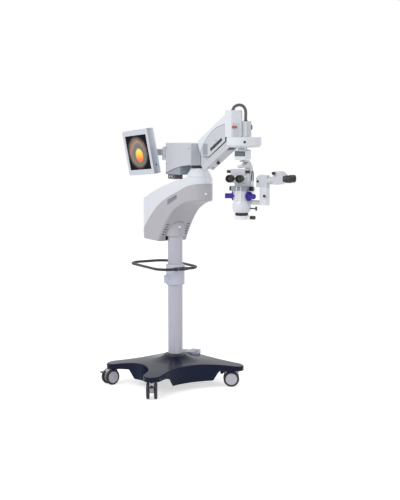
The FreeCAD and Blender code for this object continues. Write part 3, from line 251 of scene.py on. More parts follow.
@kept_as("node_groups", "Moulded and painted surface")
def surface_group(name):
    """Tone, roughness and relief of a moulded or painted surface.

    Slow noise shifts the tone, mid noise leaves faint rubbed patches, and fine noise at
    the grain's scale gives the relief.
    """
    white = (1, 1, 1, 1)
    g, given, out = new_group(
        name,
        [("Vector", "Vector", None), ("Colour", "Color", white), ("Worn Colour", "Color", white),
         ("Tone", "Float", 0.05), ("Wear", "Float", 0.1), ("Grain Scale", "Float", 900.0),
         ("Roughness", "Float", 0.4), ("Spread", "Float", 0.08)],
        [("Colour", "Color"), ("Roughness", "Float"), ("Height", "Float")])
    slow = noise(g, given["Vector"], 3.5, 3.0)
    patch = noise(g, given["Vector"], 22.0, 6.0, 0.65)
    fine = noise(g, given["Vector"], given["Grain Scale"], 2.0)
    tone = maths(g, "MULTIPLY_ADD", off_middle(g, slow), given["Tone"], 1.0)
    tinted = mix_colour(g, 1.0, given["Colour"], tone, "MULTIPLY")
    amount = maths(g, "MULTIPLY", spread(g, patch, 0.52, 0.74), given["Wear"], clamp=True)
    rough = maths(g, "MULTIPLY_ADD", off_middle(g, patch), given["Spread"], given["Roughness"],
                  clamp=True)
    feed(g, out, {"Colour": mix_colour(g, amount, tinted, given["Worn Colour"]),
                  "Roughness": rough, "Height": fine})
    return g


@kept_as("node_groups", "Brushed lines")
def brushed_group(name):
    """Fine lines round a machined piece: noise whose Z is 65 times as dense as its X and Y."""
    g, given, out = new_group(name, [("Vector", "Vector", None), ("Roughness", "Float", 0.3)],
                              [("Roughness", "Float"), ("Height", "Float")])
    stretched = add_node(g, "Mapping", {"Vector": given["Vector"], "Scale": (40, 40, 2600)})
    lines = noise(g, stretched.outputs["Vector"], 1.0, 3.0)
    rough = maths(g, "MULTIPLY_ADD", off_middle(g, lines), 0.25, given["Roughness"], clamp=True)
    feed(g, out, {"Roughness": rough, "Height": lines})
    return g


@kept_as("node_groups", "Hairline joint")
def joint_group(name):
    """The line where two mouldings meet: 1 where X is near 0 and Y is less than Front."""
    g, given, out = new_group(name, [("Vector", "Vector", None), ("Half Width", "Float", 0.0006),
                                     ("Front", "Float", 0.0)], [("Mask", "Float")])
    x, y, _ = apart(g, given["Vector"])
    near = maths(g, "LESS_THAN", maths(g, "ABSOLUTE", x), given["Half Width"])
    feed(g, out, {"Mask": maths(g, "MULTIPLY", near, maths(g, "LESS_THAN", y, given["Front"]))})
    return g


@kept_as("node_groups", "Side panel outline")
def arc_group(name):
    """A panel on both sides of the arm: 1 inside a circle in Y and Z, and a line along it."""
    flank = 0.0345              # in metres: the cover's sides lie beyond this X
    g, given, out = new_group(
        name, [("Vector", "Vector", None), ("Centre Y", "Float", 0.0),
               ("Centre Z", "Float", 0.0), ("Radius", "Float", 0.1), ("Line", "Float", 0.0012)],
        [("Panel", "Float"), ("Line", "Float")])
    x, y, z = apart(g, given["Vector"])
    r = length_of(g, maths(g, "SUBTRACT", y, given["Centre Y"]),
                  maths(g, "SUBTRACT", z, given["Centre Z"]))
    side = maths(g, "GREATER_THAN", maths(g, "ABSOLUTE", x), flank)
    inside = maths(g, "LESS_THAN", r, given["Radius"])
    off = maths(g, "ABSOLUTE", maths(g, "SUBTRACT", r, given["Radius"]))
    line = maths(g, "LESS_THAN", off, given["Line"])
    feed(g, out, {"Panel": maths(g, "MULTIPLY", inside, side),
                  "Line": maths(g, "MULTIPLY", line, side)})
    return g


# Materials

# Each finish has a colour (one of the user's, or a paint chart's red, green and blue), the
# colour of its rubbed patches, and what differs from the plain finish above it.
PLAIN_FINISH = dict(worn=None, grain=900.0, relief=0.03, tone=0.06, wear=0.12, metallic=0.0,
                    coat=0.0, specular=0.5, brushed=False)
FINISHES = {
    "white_enamel": dict(colour="shell", worn=(221, 225, 232), rough=0.34, grain=420,
                         relief=0.05, tone=0.035, wear=0.1, coat=0.25),
    "neck_enamel": dict(colour="neck", worn=(178, 176, 184), rough=0.46, grain=700,
                        relief=0.07, tone=0.05, wear=0.15),
    "carriage_enamel": dict(colour="box", worn=(196, 199, 206), rough=0.42, grain=650,
                            relief=0.06, tone=0.04, coat=0.1),
    # A grey that paints the enamel in shade: on the neck's recessed window, under the carriage,
    # on the yoke and on the arm's caps and pivot plates.
    "panel_enamel": dict(colour=(158, 165, 176), rough=0.5, grain=700, relief=0.07, tone=0.05,
                         wear=0.15),
    "column_enamel": dict(colour="column", worn=(176, 177, 190), rough=0.36, grain=500,
                          relief=0.05, tone=0.04, metallic=0.25, coat=0.2),
    "base_enamel": dict(colour="base", worn=(20, 29, 58), rough=0.22, relief=0.04, tone=0.04,
                        specular=0.14),
    "casting_enamel": dict(colour=(214, 217, 224), rough=0.38, grain=600, relief=0.06,
                           tone=0.05, wear=0.1, coat=0.15),
    # A brighter white for small white parts, and for painted highlights: the strips on the arm's
    # head and the bow on the connector box.
    "rib_enamel": dict(colour=(246, 247, 250), rough=0.3, grain=600, relief=0.04, tone=0.02,
                       wear=0.05, coat=0.3),
    "lever_lacquer": dict(colour="lever", worn=(214, 120, 78), rough=0.35, relief=0.08,
                          tone=0.1, wear=0.3, coat=0.3),
    "cast_iron_paint": dict(colour=(58, 60, 66), rough=0.6, grain=500, relief=0.3),
    "clamp_plastic": dict(colour=(204, 207, 224), rough=0.44, grain=800, relief=0.08),
    "monitor_plastic": dict(colour=(216, 220, 233), rough=0.4, relief=0.08, coat=0.1),
    "black_plastic": dict(colour=(26, 26, 30), worn=(48, 48, 54), rough=0.42, grain=1100,
                          relief=0.15, tone=0.15, wear=0.3),
    "hub_plastic": dict(colour=(206, 204, 216), worn=(186, 184, 196), rough=0.42, relief=0.1,
                        wear=0.2),
    "fork_plastic": dict(colour=(240, 240, 246), rough=0.4, relief=0.1, wear=0.2),
    "connector_plastic": dict(colour=(116, 108, 112), rough=0.5, relief=0.15, tone=0.15,
                              wear=0.3),
    "connector_lilac": dict(colour=(178, 182, 200), rough=0.4, grain=700, relief=0.06),
    "readout_rim": dict(colour=(52, 66, 70), rough=0.35, relief=0.08),
    "knob_silicone": dict(colour="knob", worn=(78, 62, 170), rough=0.5, grain=1100,
                          relief=0.15, tone=0.1, wear=0.2),
    "black_rubber": dict(colour=(30, 30, 34), worn=(52, 52, 56), rough=0.66, grain=1400,
                         relief=0.3, tone=0.2, wear=0.35, specular=0.35),
    "tyre_rubber": dict(colour=(52, 52, 55), worn=(88, 87, 88), rough=0.68, grain=1200,
                        relief=0.35, tone=0.25, wear=0.5, specular=0.35),
    "satin_aluminium": dict(colour=(206, 208, 213), rough=0.34, relief=0.08, tone=0.05,
                            wear=0.1, metallic=0.55, brushed=True),
    "turned_steel": dict(colour=(176, 177, 181), rough=0.28, relief=0.12, wear=0.1,
                         metallic=0.9, brushed=True),
    "folded_sheet": dict(colour=(150, 152, 156), rough=0.45, relief=0.08, metallic=0.4),
}
RELIEF_DEPTH = 0.0006           # in metres, at a relief of 1


def new_material(name):
    """A material with a Principled shader: it, its tree, the shader, Object coordinates."""
    m = bpy.data.materials.new(name)
    m.use_nodes = True
    tree = m.node_tree
    tree.nodes.clear()
    shader = add_node(tree, "BsdfPrincipled")
    add_node(tree, "OutputMaterial", {"Surface": shader.outputs[0]})
    return m, tree, shader, add_node(tree, "TexCoord").outputs["Object"]


def chart(r, g, b):
    """A paint chart's colour for a colour socket."""
    return (*srgb(r, g, b), 1.0)


def placed_group(tree, group, values):
    """A group's outputs, with these values on its inputs."""
    node = add_node(tree, "Group", node_tree=group)
    feed(tree, node, values)
    return node.outputs


def bump(tree, height, strength):
    """A normal that rises and falls with the height."""
    return add_node(tree, "Bump", {"Height": height, "Strength": strength,
                                   "Distance": RELIEF_DEPTH}).outputs[0]


def finish(name):
    """The painted, moulded or machined finish of this name, made once from its row.

    Where the row gives no worn colour, it is the colour moved 0.15 of the way to white.
    """
    if name in bpy.data.materials:
        return bpy.data.materials[name]
    row = {**PLAIN_FINISH, **FINISHES[name]}
    colour = row["colour"]
    colour = getattr(colours(), colour)[:] if isinstance(colour, str) else srgb(*colour)
    worn = srgb(*row["worn"]) if row["worn"] else [v + (1 - v) * 0.15 for v in colour]
    m, tree, shader, coord = new_material(name)
    surface = placed_group(tree, surface_group(), {
        "Vector": coord, "Colour": (*colour, 1.0), "Worn Colour": (*worn, 1.0),
        "Tone": row["tone"], "Wear": row["wear"], "Grain Scale": row["grain"],
        "Roughness": row["rough"]})
    relief = surface
    if row["brushed"]:
        relief = placed_group(tree, brushed_group(), {"Vector": coord,
                                                      "Roughness": row["rough"]})
    feed(tree, shader, {
        "Base Color": surface["Colour"], "Roughness": relief["Roughness"],
        "Normal": bump(tree, relief["Height"], row["relief"]), "Metallic": row["metallic"],
        "Coat Weight": row["coat"], "Coat Roughness": 0.12,
        "Specular IOR Level": row["specular"]})
    return m


def recoloured(name, base):
    """A copy of a finish: it, its tree, the shader, Object coordinates and its colour."""
    m = finish(base).copy()
    m.name = name
    tree = m.node_tree
    shader = next(n for n in tree.nodes if n.type == "BSDF_PRINCIPLED")
    coord = next(n for n in tree.nodes if n.type == "TEX_COORD").outputs["Object"]
    return m, tree, shader, coord, shader.inputs["Base Color"].links[0].from_socket


def jointed(name, base, front):
    """A finish with the dark hairline joint of two mouldings on it."""
    if name in bpy.data.materials:
        return bpy.data.materials[name]
    m, tree, shader, coord, colour = recoloured(name, base)
    joint = placed_group(tree, joint_group(), {"Vector": coord, "Half Width": 0.0006,
                                               "Front": front})
    feed(tree, shader, {"Base Color": mix_colour(tree, joint["Mask"], colour,
                                                 chart(128, 130, 140))})
    return m


@kept_as("materials", "arm_enamel")
def arm_finish(name):
    """White enamel whose side carries a grey panel under a dark curved joint."""
    m, tree, shader, coord, colour = recoloured(name, "white_enamel")
    arc = placed_group(tree, arc_group(), {
        "Vector": coord, "Centre Y": -0.7168, "Centre Z": 1.3518, "Radius": 0.383,
        "Line": 0.0016})
    grey = mix_colour(tree, arc["Panel"], colour, chart(206, 208, 216))
    feed(tree, shader, {"Base Color": mix_colour(tree, arc["Line"], grey, chart(96, 96, 116))})
    return m


@kept_as("materials", "coated_lens")
def lens_glass(name):
    """A dark lens whose violet coating varies slowly."""
    m, tree, shader, coord = new_material(name)
    tint = spread(tree, noise(tree, coord, 40.0, 2.0), 0.3, 0.7)
    feed(tree, shader, {
        "Base Color": mix_colour(tree, tint, chart(22, 26, 44), chart(40, 34, 60)),
        "Roughness": spread(tree, noise(tree, coord, 90.0), 0.3, 0.7, 0.04, 0.09),
        "Coat Weight": 1.0, "Coat Roughness": 0.03})
    return m


def uv_vector(tree, scale=(1, 1, 1)):
    """The piece's own UV map, scaled."""
    uv = add_node(tree, "UVMap", uv_map="picture").outputs[0]
    return add_node(tree, "Mapping", {"Vector": uv, "Scale": scale}).outputs["Vector"]


@kept_as("materials", "screen_picture")
def screen_picture(name):
    """A live view of an eye, worked out as three soft ellipses on near-black.

    Each ellipse is 1 where the root of (du / half width)^2 + (dv / half height)^2, moved a
    little by noise, is under 1. The largest is pinkish grey, the next grey-green, and the
    glow in the middle runs from yellow at its top to orange-red at its bottom.
    """
    m, tree, shader, coord = new_material(name)
    uv = uv_vector(tree)
    across, height, _ = apart(tree, uv)
    warp = off_middle(tree, noise(tree, uv, 5.0, 4.0))

    def inside(cu, cv, half_u, half_v, wobble, soft):
        du = maths(tree, "MULTIPLY", maths(tree, "SUBTRACT", across, cu), 1 / half_u)
        dv = maths(tree, "MULTIPLY", maths(tree, "SUBTRACT", height, cv), 1 / half_v)
        r = maths(tree, "MULTIPLY_ADD", warp, wobble, length_of(tree, du, dv))
        return spread(tree, r, 1 - soft, 1.0, 1.0, 0.0)

    mottle = spread(tree, noise(tree, uv, 13.0), 0.35, 0.65)
    pink = mix_colour(tree, mottle, chart(156, 132, 124), chart(128, 104, 97))
    pink = mix_colour(tree, inside(0.48, 0.50, 0.47, 0.49, 0.12, 0.34), chart(8, 7, 9), pink)
    green = mix_colour(tree, inside(0.53, 0.42, 0.35, 0.36, 0.10, 0.22), pink,
                       chart(98, 108, 100))
    glow = mix_colour(tree, spread(tree, height, 0.27, 0.56), chart(255, 104, 58),
                      chart(255, 214, 90))
    picture = mix_colour(tree, inside(0.53, 0.41, 0.19, 0.22, 0.12, 0.3), green, glow)
    feed(tree, shader, {
        "Base Color": picture, "Emission Color": picture, "Emission Strength": 0.55,
        "Specular IOR Level": 0.015,
        "Roughness": spread(tree, noise(tree, coord, 60.0), 0.3, 0.7, 0.30, 0.36)})
    return m


@kept_as("materials", "readout_window")
def readout(name):
    """A small liquid-crystal window: plain bars, darker than their ground.

    A bar is where the fractions of 9 u and 3 v are near a half, and noise leaves some out.
    """
    m, tree, shader, coord = new_material(name)
    uv = uv_vector(tree, (9.0, 3.0, 1.0))
    u, v, _ = apart(tree, uv)

    def near_middle(value, half):
        off = off_middle(tree, maths(tree, "FRACT", value))
        return maths(tree, "LESS_THAN", maths(tree, "ABSOLUTE", off), half)

    bars = maths(tree, "MULTIPLY", near_middle(u, 0.32), near_middle(v, 0.24))
    bars = maths(tree, "MULTIPLY", bars, spread(tree, noise(tree, uv, 0.9, 1.0), 0.44, 0.5))
    feed(tree, shader, {
        "Base Color": mix_colour(tree, maths(tree, "MULTIPLY", bars, 0.55),
                                 chart(104, 126, 128), chart(40, 54, 56)),
        "Roughness": spread(tree, noise(tree, coord, 80.0), 0.3, 0.7, 0.14, 0.2)})
    return m


@kept_as("materials", "hose_sleeve")
def hose_sleeve(name):
    """A woven sleeve over the light guide: sine bands across the tube, 26 to its UV length."""
    m, tree, shader, coord = new_material(name)
    bands = add_node(tree, "TexWave", {"Vector": uv_vector(tree), "Scale": 26.0,
                                       "Distortion": 0.4}, bands_direction="X").outputs["Fac"]
    patch = noise(tree, coord, 30.0)
    weave = mix_colour(tree, bands, chart(74, 70, 78), chart(112, 106, 116))
    feed(tree, shader, {
        "Base Color": mix_colour(tree, maths(tree, "MULTIPLY", patch, 0.3), weave,
                                 chart(88, 82, 92)),
        "Roughness": spread(tree, patch, 0.3, 0.7, 0.5, 0.65),
        "Normal": bump(tree, bands, 0.5)})
    return m


# Surfaces

def scope_axis(d):
    """A direction of the microscope's own frame in the stand's.

    It is x cos t - y sin t, x sin t + y cos t and z, with t the microscope's turn.
    """
    d = np.asarray(d, float)
    c, s = math.cos(SCOPE_TURN), math.sin(SCOPE_TURN)
    return np.stack([d[..., 0] * c - d[..., 1] * s, d[..., 0] * s + d[..., 1] * c, d[..., 2]], -1)


def to_stand(p):
    """Points of the microscope's own frame in the stand's: turned, then moved along Y."""
    return scope_axis(p) + [0, SCOPE_Y, 0]


def scope_frame(p):
    """Points of the stand's frame back in the microscope's own: to_stand the other way."""
    q = p - np.array([0, SCOPE_Y, 0])
    c, s = math.cos(-SCOPE_TURN), math.sin(-SCOPE_TURN)
    return np.stack([q[:, 0] * c - q[:, 1] * s, q[:, 0] * s + q[:, 1] * c, q[:, 2]], -1)


def soften(points, r, n=4):
    """A polyline with each inner corner replaced by a short curve.

    The curve is (1-t)^2 A + 2t(1-t) C + t^2 B from r before the corner C to r after it.
    """
    p = np.asarray(points, float)
    out = [p[:1]]
    for i in range(1, len(p) - 1):
        a, b = p[i - 1] - p[i], p[i + 1] - p[i]
        la, lb = np.linalg.norm(a), np.linalg.norm(b)
        k = min(r, la * 0.45, lb * 0.45)
        start, end = p[i] + a / la * k, p[i] + b / lb * k
        t = np.linspace(0, 1, n + 1)[:, None]
        out.append((1 - t) ** 2 * start + 2 * t * (1 - t) * p[i] + t ** 2 * end)
    out.append(p[-1:])
    return np.concatenate(out)


def grid_faces(nu, nv, wrap_u=False, wrap_v=False):
    """Quads of a grid whose point (i, j) has number i * nv + j."""
    i = np.arange(nu if wrap_u else nu - 1)
    j = np.arange(nv if wrap_v else nv - 1)
    i, j = np.meshgrid(i, j, indexing="ij")
    i2, j2 = (i + 1) % nu, (j + 1) % nv
    return np.stack([i * nv + j, i * nv + j2, i2 * nv + j2, i2 * nv + j], -1).reshape(-1, 4)


def unit_square(nu, nv):
    """A flat grid's u and v, each from 0 to 1."""
    return np.meshgrid(np.linspace(0, 1, nu), np.linspace(0, 1, nv), indexing="ij")


def even_steps(path, count, closed=False):
    """Points at even distances along a polyline, interpolated over its length so far."""
    path = np.asarray(path, float)
    if closed:
        path = np.vstack([path, path[:1]])
    s = np.concatenate([[0], np.cumsum(np.linalg.norm(np.diff(path, axis=0), axis=1))])
    at = np.linspace(0, s[-1], count, endpoint=not closed)
    return np.column_stack([np.interp(at, s, path[:, k]) for k in range(path.shape[1])])


def frame_about(axis):
    """The axis as a unit vector, and two directions square to it and to each other."""
    a = np.asarray(axis, float)
    a = a / np.linalg.norm(a)
    other = np.array([0, 0, 1.0]) if abs(a[2]) < 0.9 else np.array([0, 1.0, 0])
    e1 = np.cross(other, a)
    e1 /= np.linalg.norm(e1)
    return a, e1, np.cross(a, e1)


def turned(profile, at, axis=UP, steps=64, soft=0.0, lobes=0, depth=0.0, lobed=None,
           hollow=False):
    """A turned piece: points at + h*a + r(h, t)*(e1 cos t + e2 sin t).

    profile lists (r, h), and comes back to its first point where the piece is hollow. With
    lobes, r is multiplied by 1 - depth * (0.5 - 0.5 cos(lobes t)) where h lies in lobed.
    """
    p = np.asarray(profile + profile[:1] if hollow else profile, float)
    if soft:
        p = soften(p, soft)
    a, e1, e2 = frame_about(axis)
    t = np.linspace(0, 2 * math.pi, steps, endpoint=False)
    r = p[:, 0][:, None] * np.ones(steps)
    if lobes:
        low, high = lobed
        inside = ((p[:, 1] >= low) & (p[:, 1] <= high))[:, None]
        r = np.where(inside, r * (1 - depth * (0.5 - 0.5 * np.cos(lobes * t))), r)
    pts = (np.asarray(at, float) + p[:, 1][:, None, None] * a
           + r[..., None] * (np.cos(t)[None, :, None] * e1 + np.sin(t)[None, :, None] * e2))
    return pts.reshape(-1, 3), grid_faces(len(p), steps, False, True)


def carried(path, radius, steps=24, closed=False):
    """A round tube: each point of the path carries a circle across its tangent.

    The circle's first direction is the one before it, made square to the new tangent, so
    that the tube doesn't twist. An open tube is closed at both ends on its middle.
    """
    path = np.asarray(path, float)
    n = len(path)
    if closed:
        tangent = np.roll(path, -1, 0) - np.roll(path, 1, 0)
    else:
        tangent = np.gradient(path, axis=0)
    tangent /= np.linalg.norm(tangent, axis=1)[:, None]
    first = np.cross([0.3, 0.2, 1.0], tangent[0])
    sides = np.zeros((n, 3))
    for i in range(n):
        first = first - tangent[i] * np.dot(first, tangent[i])
        first /= np.linalg.norm(first)
        sides[i] = first
    other = np.cross(tangent, sides)
    t = np.linspace(0, 2 * math.pi, steps, endpoint=False)
    pts = path[:, None] + radius * (np.cos(t)[None, :, None] * sides[:, None]
                                    + np.sin(t)[None, :, None] * other[:, None])
    if closed:
        return pts.reshape(-1, 3), grid_faces(n, steps, True, True)
    ends = np.stack([np.broadcast_to(path[0], (steps, 3)),
                     np.broadcast_to(path[-1], (steps, 3))])
    pts = np.concatenate([ends[:1], pts, ends[1:]])
    return pts.reshape(-1, 3), grid_faces(n + 2, steps, False, True)


def soft_box(low, high, r, n=3):
    """A box with rounded edges: core corner plus r times a unit direction.

    Latitude and longitude run over each quarter from 0 to 90 degrees, and each quarter's
    directions are pushed out to its own corner of the core.
    """
    low, high = np.asarray(low, float), np.asarray(high, float)
    r = min(r, 0.499 * float((high - low).min()))
    core = (high - low) / 2 - r
    q = np.linspace(0, math.pi / 2, n + 1)
    lon = np.concatenate([q + k * math.pi / 2 for k in range(4)])
    sx = np.repeat([1, -1, -1, 1], n + 1)
    sy = np.repeat([1, 1, -1, -1], n + 1)
    lat = np.concatenate([q - math.pi / 2, q])
    sz = np.repeat([-1, 1], n + 1)
    cl = np.cos(lat)[:, None]
    x = sx * core[0] + r * cl * np.cos(lon)
    y = sy * core[1] + r * cl * np.sin(lon)
    z = (sz * core[2] + r * np.sin(lat))[:, None] * np.ones(len(lon))
    bottom, top = np.zeros((2, 1, len(lon), 3))
    bottom[..., 2] = -core[2] - r
    top[..., 2] = core[2] + r
    pts = np.concatenate([bottom, np.stack([x, y, z], -1), top]) + (low + high) / 2
    return pts.reshape(-1, 3), grid_faces(len(lat) + 2, len(lon), False, True)


def slab(outline, lift, thick, place, edge=0.4):
    """A flat plate: the outline, drawn in by edge at the top, carried along its depth.

    place turns (u, v, depth) into a point; both faces close on the middle.
    """
    o = np.asarray(outline, float)
    c = o.mean(0)
    d = o - c
    k = 1 - edge / np.linalg.norm(d, axis=1)[:, None]
    levels = [(c + d * 0, lift), (o, lift), (o, lift + thick - edge),
              (c + d * k, lift + thick), (c + d * 0, lift + thick)]
    pts = np.stack([place(np.column_stack([uv, np.full(len(o), h)])) for uv, h in levels])
    return pts.reshape(-1, 3), grid_faces(len(levels), len(o), False, True)


def pill(half_long, half_wide, n=12):
    """A stadium outline: two half circles joined by straight sides."""
    t = np.linspace(-math.pi / 2, math.pi / 2, n)
    right = np.column_stack([half_long - half_wide + half_wide * np.cos(t),
                             half_wide * np.sin(t)])
    return np.concatenate([right, -right])


def round_rect(hu, hv, r, n=6):
    """A rectangle outline with quarter-circle corners."""
    t = np.linspace(0, math.pi / 2, n)
    q = np.column_stack([np.cos(t), np.sin(t)]) * r
    parts = []
    for k, (su, sv) in enumerate(((1, 1), (-1, 1), (-1, -1), (1, -1))):
        a = k * math.pi / 2
        rot = np.array([[math.cos(a), -math.sin(a)], [math.sin(a), math.cos(a)]])
        parts.append(q @ rot.T + [su * (hu - r), sv * (hv - r)])
    return np.concatenate(parts)


def merged(parts):
    """Several surfaces, with faces of one size, as one."""
    verts, faces, n = [], [], 0
    for v, f in parts:
        verts.append(v)
        faces.append(f + n)
        n += len(v)
    return np.concatenate(verts), np.concatenate(faces)


# Pieces

def as_material(m):
    """A finish by its name, or the material itself."""
    return finish(m) if isinstance(m, str) else m


def even_shading(obj, keep_sharp):
    """Weights the normals by face area, so that flat faces shade flat."""
    w = obj.modifiers.new("even shading", "WEIGHTED_NORMAL")
    w.keep_sharp = keep_sharp


def piece(name, surface, body, material, picture=None, flat=False):
    """A mesh object in metres that rides on a body; doubles are welded first.

    surface is (points, faces), and picture its UVs. A flat piece keeps its winding, and
    every other one gets its normals pointed outwards.
    """
    verts, faces = surface
    me = bpy.data.meshes.new(name)
    v = np.asarray(verts, float).reshape(-1, 3) * MM
    f = np.asarray(faces, int)
    me.vertices.add(len(v))
    me.vertices.foreach_set("co", v.ravel())
    me.loops.add(f.size)
    me.loops.foreach_set("vertex_index", f.ravel())
    me.polygons.add(len(f))
    me.polygons.foreach_set("loop_start", np.arange(0, f.size, f.shape[1]))
    me.update(calc_edges=True)
    if picture is not None:
        layer = me.uv_layers.new(name="picture")
        uv = np.asarray(picture, float).reshape(-1, 2)[f.ravel()]
        layer.data.foreach_set("uv", uv.ravel())
    bm = bmesh.new()
    bm.from_mesh(me)
    bmesh.ops.remove_doubles(bm, verts=bm.verts, dist=2e-6)
    bmesh.ops.dissolve_degenerate(bm, edges=bm.edges, dist=1e-7)
    if not flat:
        bmesh.ops.recalc_face_normals(bm, faces=bm.faces)
    bm.to_mesh(me)
    bm.free()
    me.shade_smooth()
    obj = bpy.data.objects.new(name, me)
    bpy.context.scene.collection.objects.link(obj)
    me.materials.append(as_material(material))
    me.set_sharp_from_angle(angle=math.radians(50))
    even_shading(obj, True)
    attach(obj, body)
    return obj


def turned_piece(name, body, material, profile, at, axis=UP, steps=64, soft=0.0, **shape):
    """A turned piece that rides on a body."""
    return piece(name, turned(profile, at, axis, steps, soft, **shape), body, material)


def dressed(node, material, edge=None, segments=2, regions=()):
    """The CAD piece's own surface, welded, with rounded edges and its finish.

    regions lists (material, test), where test takes the faces' centres and normals in mm
    and says which faces get that material.
    """
    me = frame["nodes"][node].data.copy()
    me.name = node + "_finished"
    bm = bmesh.new()
    bm.from_mesh(me)
    bmesh.ops.remove_doubles(bm, verts=bm.verts, dist=2e-5)
    bmesh.ops.dissolve_degenerate(bm, edges=bm.edges, dist=1e-6)
    bmesh.ops.dissolve_limit(bm, angle_limit=math.radians(1.0), verts=bm.verts,
                             edges=bm.edges, delimit=set())
    bm.to_mesh(me)
    bm.free()
    me.materials.clear()
    me.materials.append(as_material(material))
    if regions:
        centre, normal = np.empty((2, len(me.polygons) * 3))
        me.polygons.foreach_get("center", centre)
        me.polygons.foreach_get("normal", normal)
        index = np.zeros(len(me.polygons), int)
        for k, (region, test) in enumerate(regions):
            me.materials.append(as_material(region))
            index[test(centre.reshape(-1, 3) / MM, normal.reshape(-1, 3))] = k + 1
        me.polygons.foreach_set("material_index", index)
    me.shade_smooth()
    obj = bpy.data.objects.new(me.name, me)
    bpy.context.scene.collection.objects.link(obj)
    width = sizes().edge if edge is None else edge * MM
    if width > 0:
        b = obj.modifiers.new("rounded edges", "BEVEL")
        b.width = width
        b.segments = segments
        b.limit_method = "ANGLE"
        b.angle_limit = math.radians(32)
        b.use_clamp_overlap = True
        b.harden_normals = False
        b.miter_outer = "MITER_ARC"
    me.set_sharp_from_angle(angle=math.radians(48))
    even_shading(obj, width <= 0)
    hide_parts(node)
    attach(obj, BODY_OF[node])
    return obj


def screw(name, at, axis, body, r=3.2, material="turned_steel"):
    """A socket screw: a low domed head with a hollow in its middle."""
    return turned_piece(name, body, material,
                        [(0, 0.6), (r * 0.45, 0.6), (r * 0.5, 1.4), (r * 0.9, 1.4), (r, 0.9),
                         (r, -0.6), (0, -0.6)], at, axis, 24, 0.25)


def knurled(name, body, at, axis, r, length, teeth=24, depth=0.08):
    """A rubber knob with lengthwise flutes and softened rims."""
    profile = [(0, 0), (r * 0.92, 0), (r, 1.2), (r, length - 1.2), (r * 0.9, length),
               (r * 0.55, length), (r * 0.5, length - 0.8), (0, length - 0.8)]
    return turned_piece(name, body, "black_rubber", profile, at, axis, 96, 0.6, lobes=teeth,
                        depth=depth, lobed=(1.0, length - 1.0))


# Base

def ahead(angle):
    """The plan direction at this angle from straight ahead, in degrees: sin a, -cos a."""
    a = math.radians(angle)
    return np.array([math.sin(a), -math.cos(a)])


def arc_through(a, b, c, n):
    """Points from a to c on the circle through a, b and c, at even angles.

    Its centre solves |a-m| = |b-m| = |c-m| by Cramer's rule.
    """
    a, b, c = (np.asarray(q, float) for q in (a, b, c))
    d = 2 * (a[0] * (b[1] - c[1]) + b[0] * (c[1] - a[1]) + c[0] * (a[1] - b[1]))
    sq = [q @ q for q in (a, b, c)]
    centre = np.array([sq[0] * (b[1] - c[1]) + sq[1] * (c[1] - a[1]) + sq[2] * (a[1] - b[1]),
                       sq[0] * (c[0] - b[0]) + sq[1] * (a[0] - c[0]) + sq[2] * (b[0] - a[0])]) / d
    r = np.linalg.norm(a - centre)
    ang = [math.atan2(*(q - centre)[::-1]) for q in (a, b, c)]
    full = 2 * math.pi
    ccw = (ang[2] - ang[0]) % full
    if (ang[1] - ang[0]) % full > ccw:
        ccw -= full
    t = ang[0] + np.linspace(0, ccw, n, endpoint=False)
    return centre + r * np.column_stack([np.cos(t), np.sin(t)])


def base_outline():
    """Plan of the base: a half circle round each arm's tip, and a hollow arc to the next."""
    tips = []
    for angle in ARM_ANGLES:
        out = ahead(angle)
        side = np.array([-out[1], out[0]])
        centre = out * (BASE_REACH - TIP_R)
        tips.append((centre - side * TIP_R, centre + out * TIP_R, centre + side * TIP_R))
    pts = []
    for i, tip in enumerate(tips):
        after = (i + 1) % len(tips)
        a0, a1 = ARM_ANGLES[i], ARM_ANGLES[after]
        middle = (a0 + a1) / 2 if a1 > a0 else (a0 + a1 + 360) / 2
        pts.append(arc_through(*tip, 44))
        pts.append(arc_through(tip[2], ahead(middle) * VALLEY_R[i], tips[after][0], 56))
    return np.concatenate(pts)


def base_height(r):
    """Height of the base's top over the plan radius.

    It runs straight between these points, averaged over 15 samples of 300.
    """
    rs = np.array([0, 79, 92, 120, 165, 250, 360, BASE_REACH])
    zs = np.array([199.5, 199.5, 190, 178.5, 168.5, 160, 150, 139.5])
    x = np.linspace(0, BASE_REACH, 300)
    z = np.convolve(np.pad(np.interp(x, rs, zs), 7, mode="edge"), np.ones(15) / 15,
                    mode="valid")
    return np.interp(r, x, z)


def make_base_shell():
    """The base's cover as one closed shell, on rows (radius, height) over every direction.

    Each column runs from the middle to the outline along one direction: out over the top,
    round the rim on a quarter circle, down the skirt and back inside, one wall further in.
    """
    o = base_outline()
    big_r = np.linalg.norm(o, axis=1)
    d = o / big_r[:, None]
    rim = sizes().rim / MM
    low = np.interp(big_r, [SKIRT_R, RISE_R], [SKIRT_Z, RISE_Z])
    top = base_height(big_r - rim)

    def across(s):
        return HUB_R + (big_r - rim - HUB_R) * s

    rows = [(across(s), base_height(across(s))) for s in np.linspace(0, 1, 34)]
    for t in np.linspace(0, math.pi / 2, 7)[1:]:
        rows.append((big_r - rim + rim * math.sin(t), top - rim * (1 - math.cos(t))))
    for s in np.linspace(0, 1, 6)[1:]:
        rows.append((big_r, (top - rim) * (1 - s) + low * s))
    rows.append((big_r - 1.2, low))
    for s in (0.0, 0.5, 1.0):
        rows.append((big_r - SHELL_WALL, low * (1 - s) + (top - rim) * s))
    for s in np.linspace(1, 0, 8):
        rows.append((across(s), base_height(across(s)) - SHELL_WALL))
    pts = np.stack([np.column_stack([d * np.asarray(r)[:, None], z]) for r, z in rows])
    shell = piece("base_shell", (pts.reshape(-1, 3), grid_faces(len(rows), len(o), True, True)),
                  "stand", "base_enamel")
    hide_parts("base_cover")


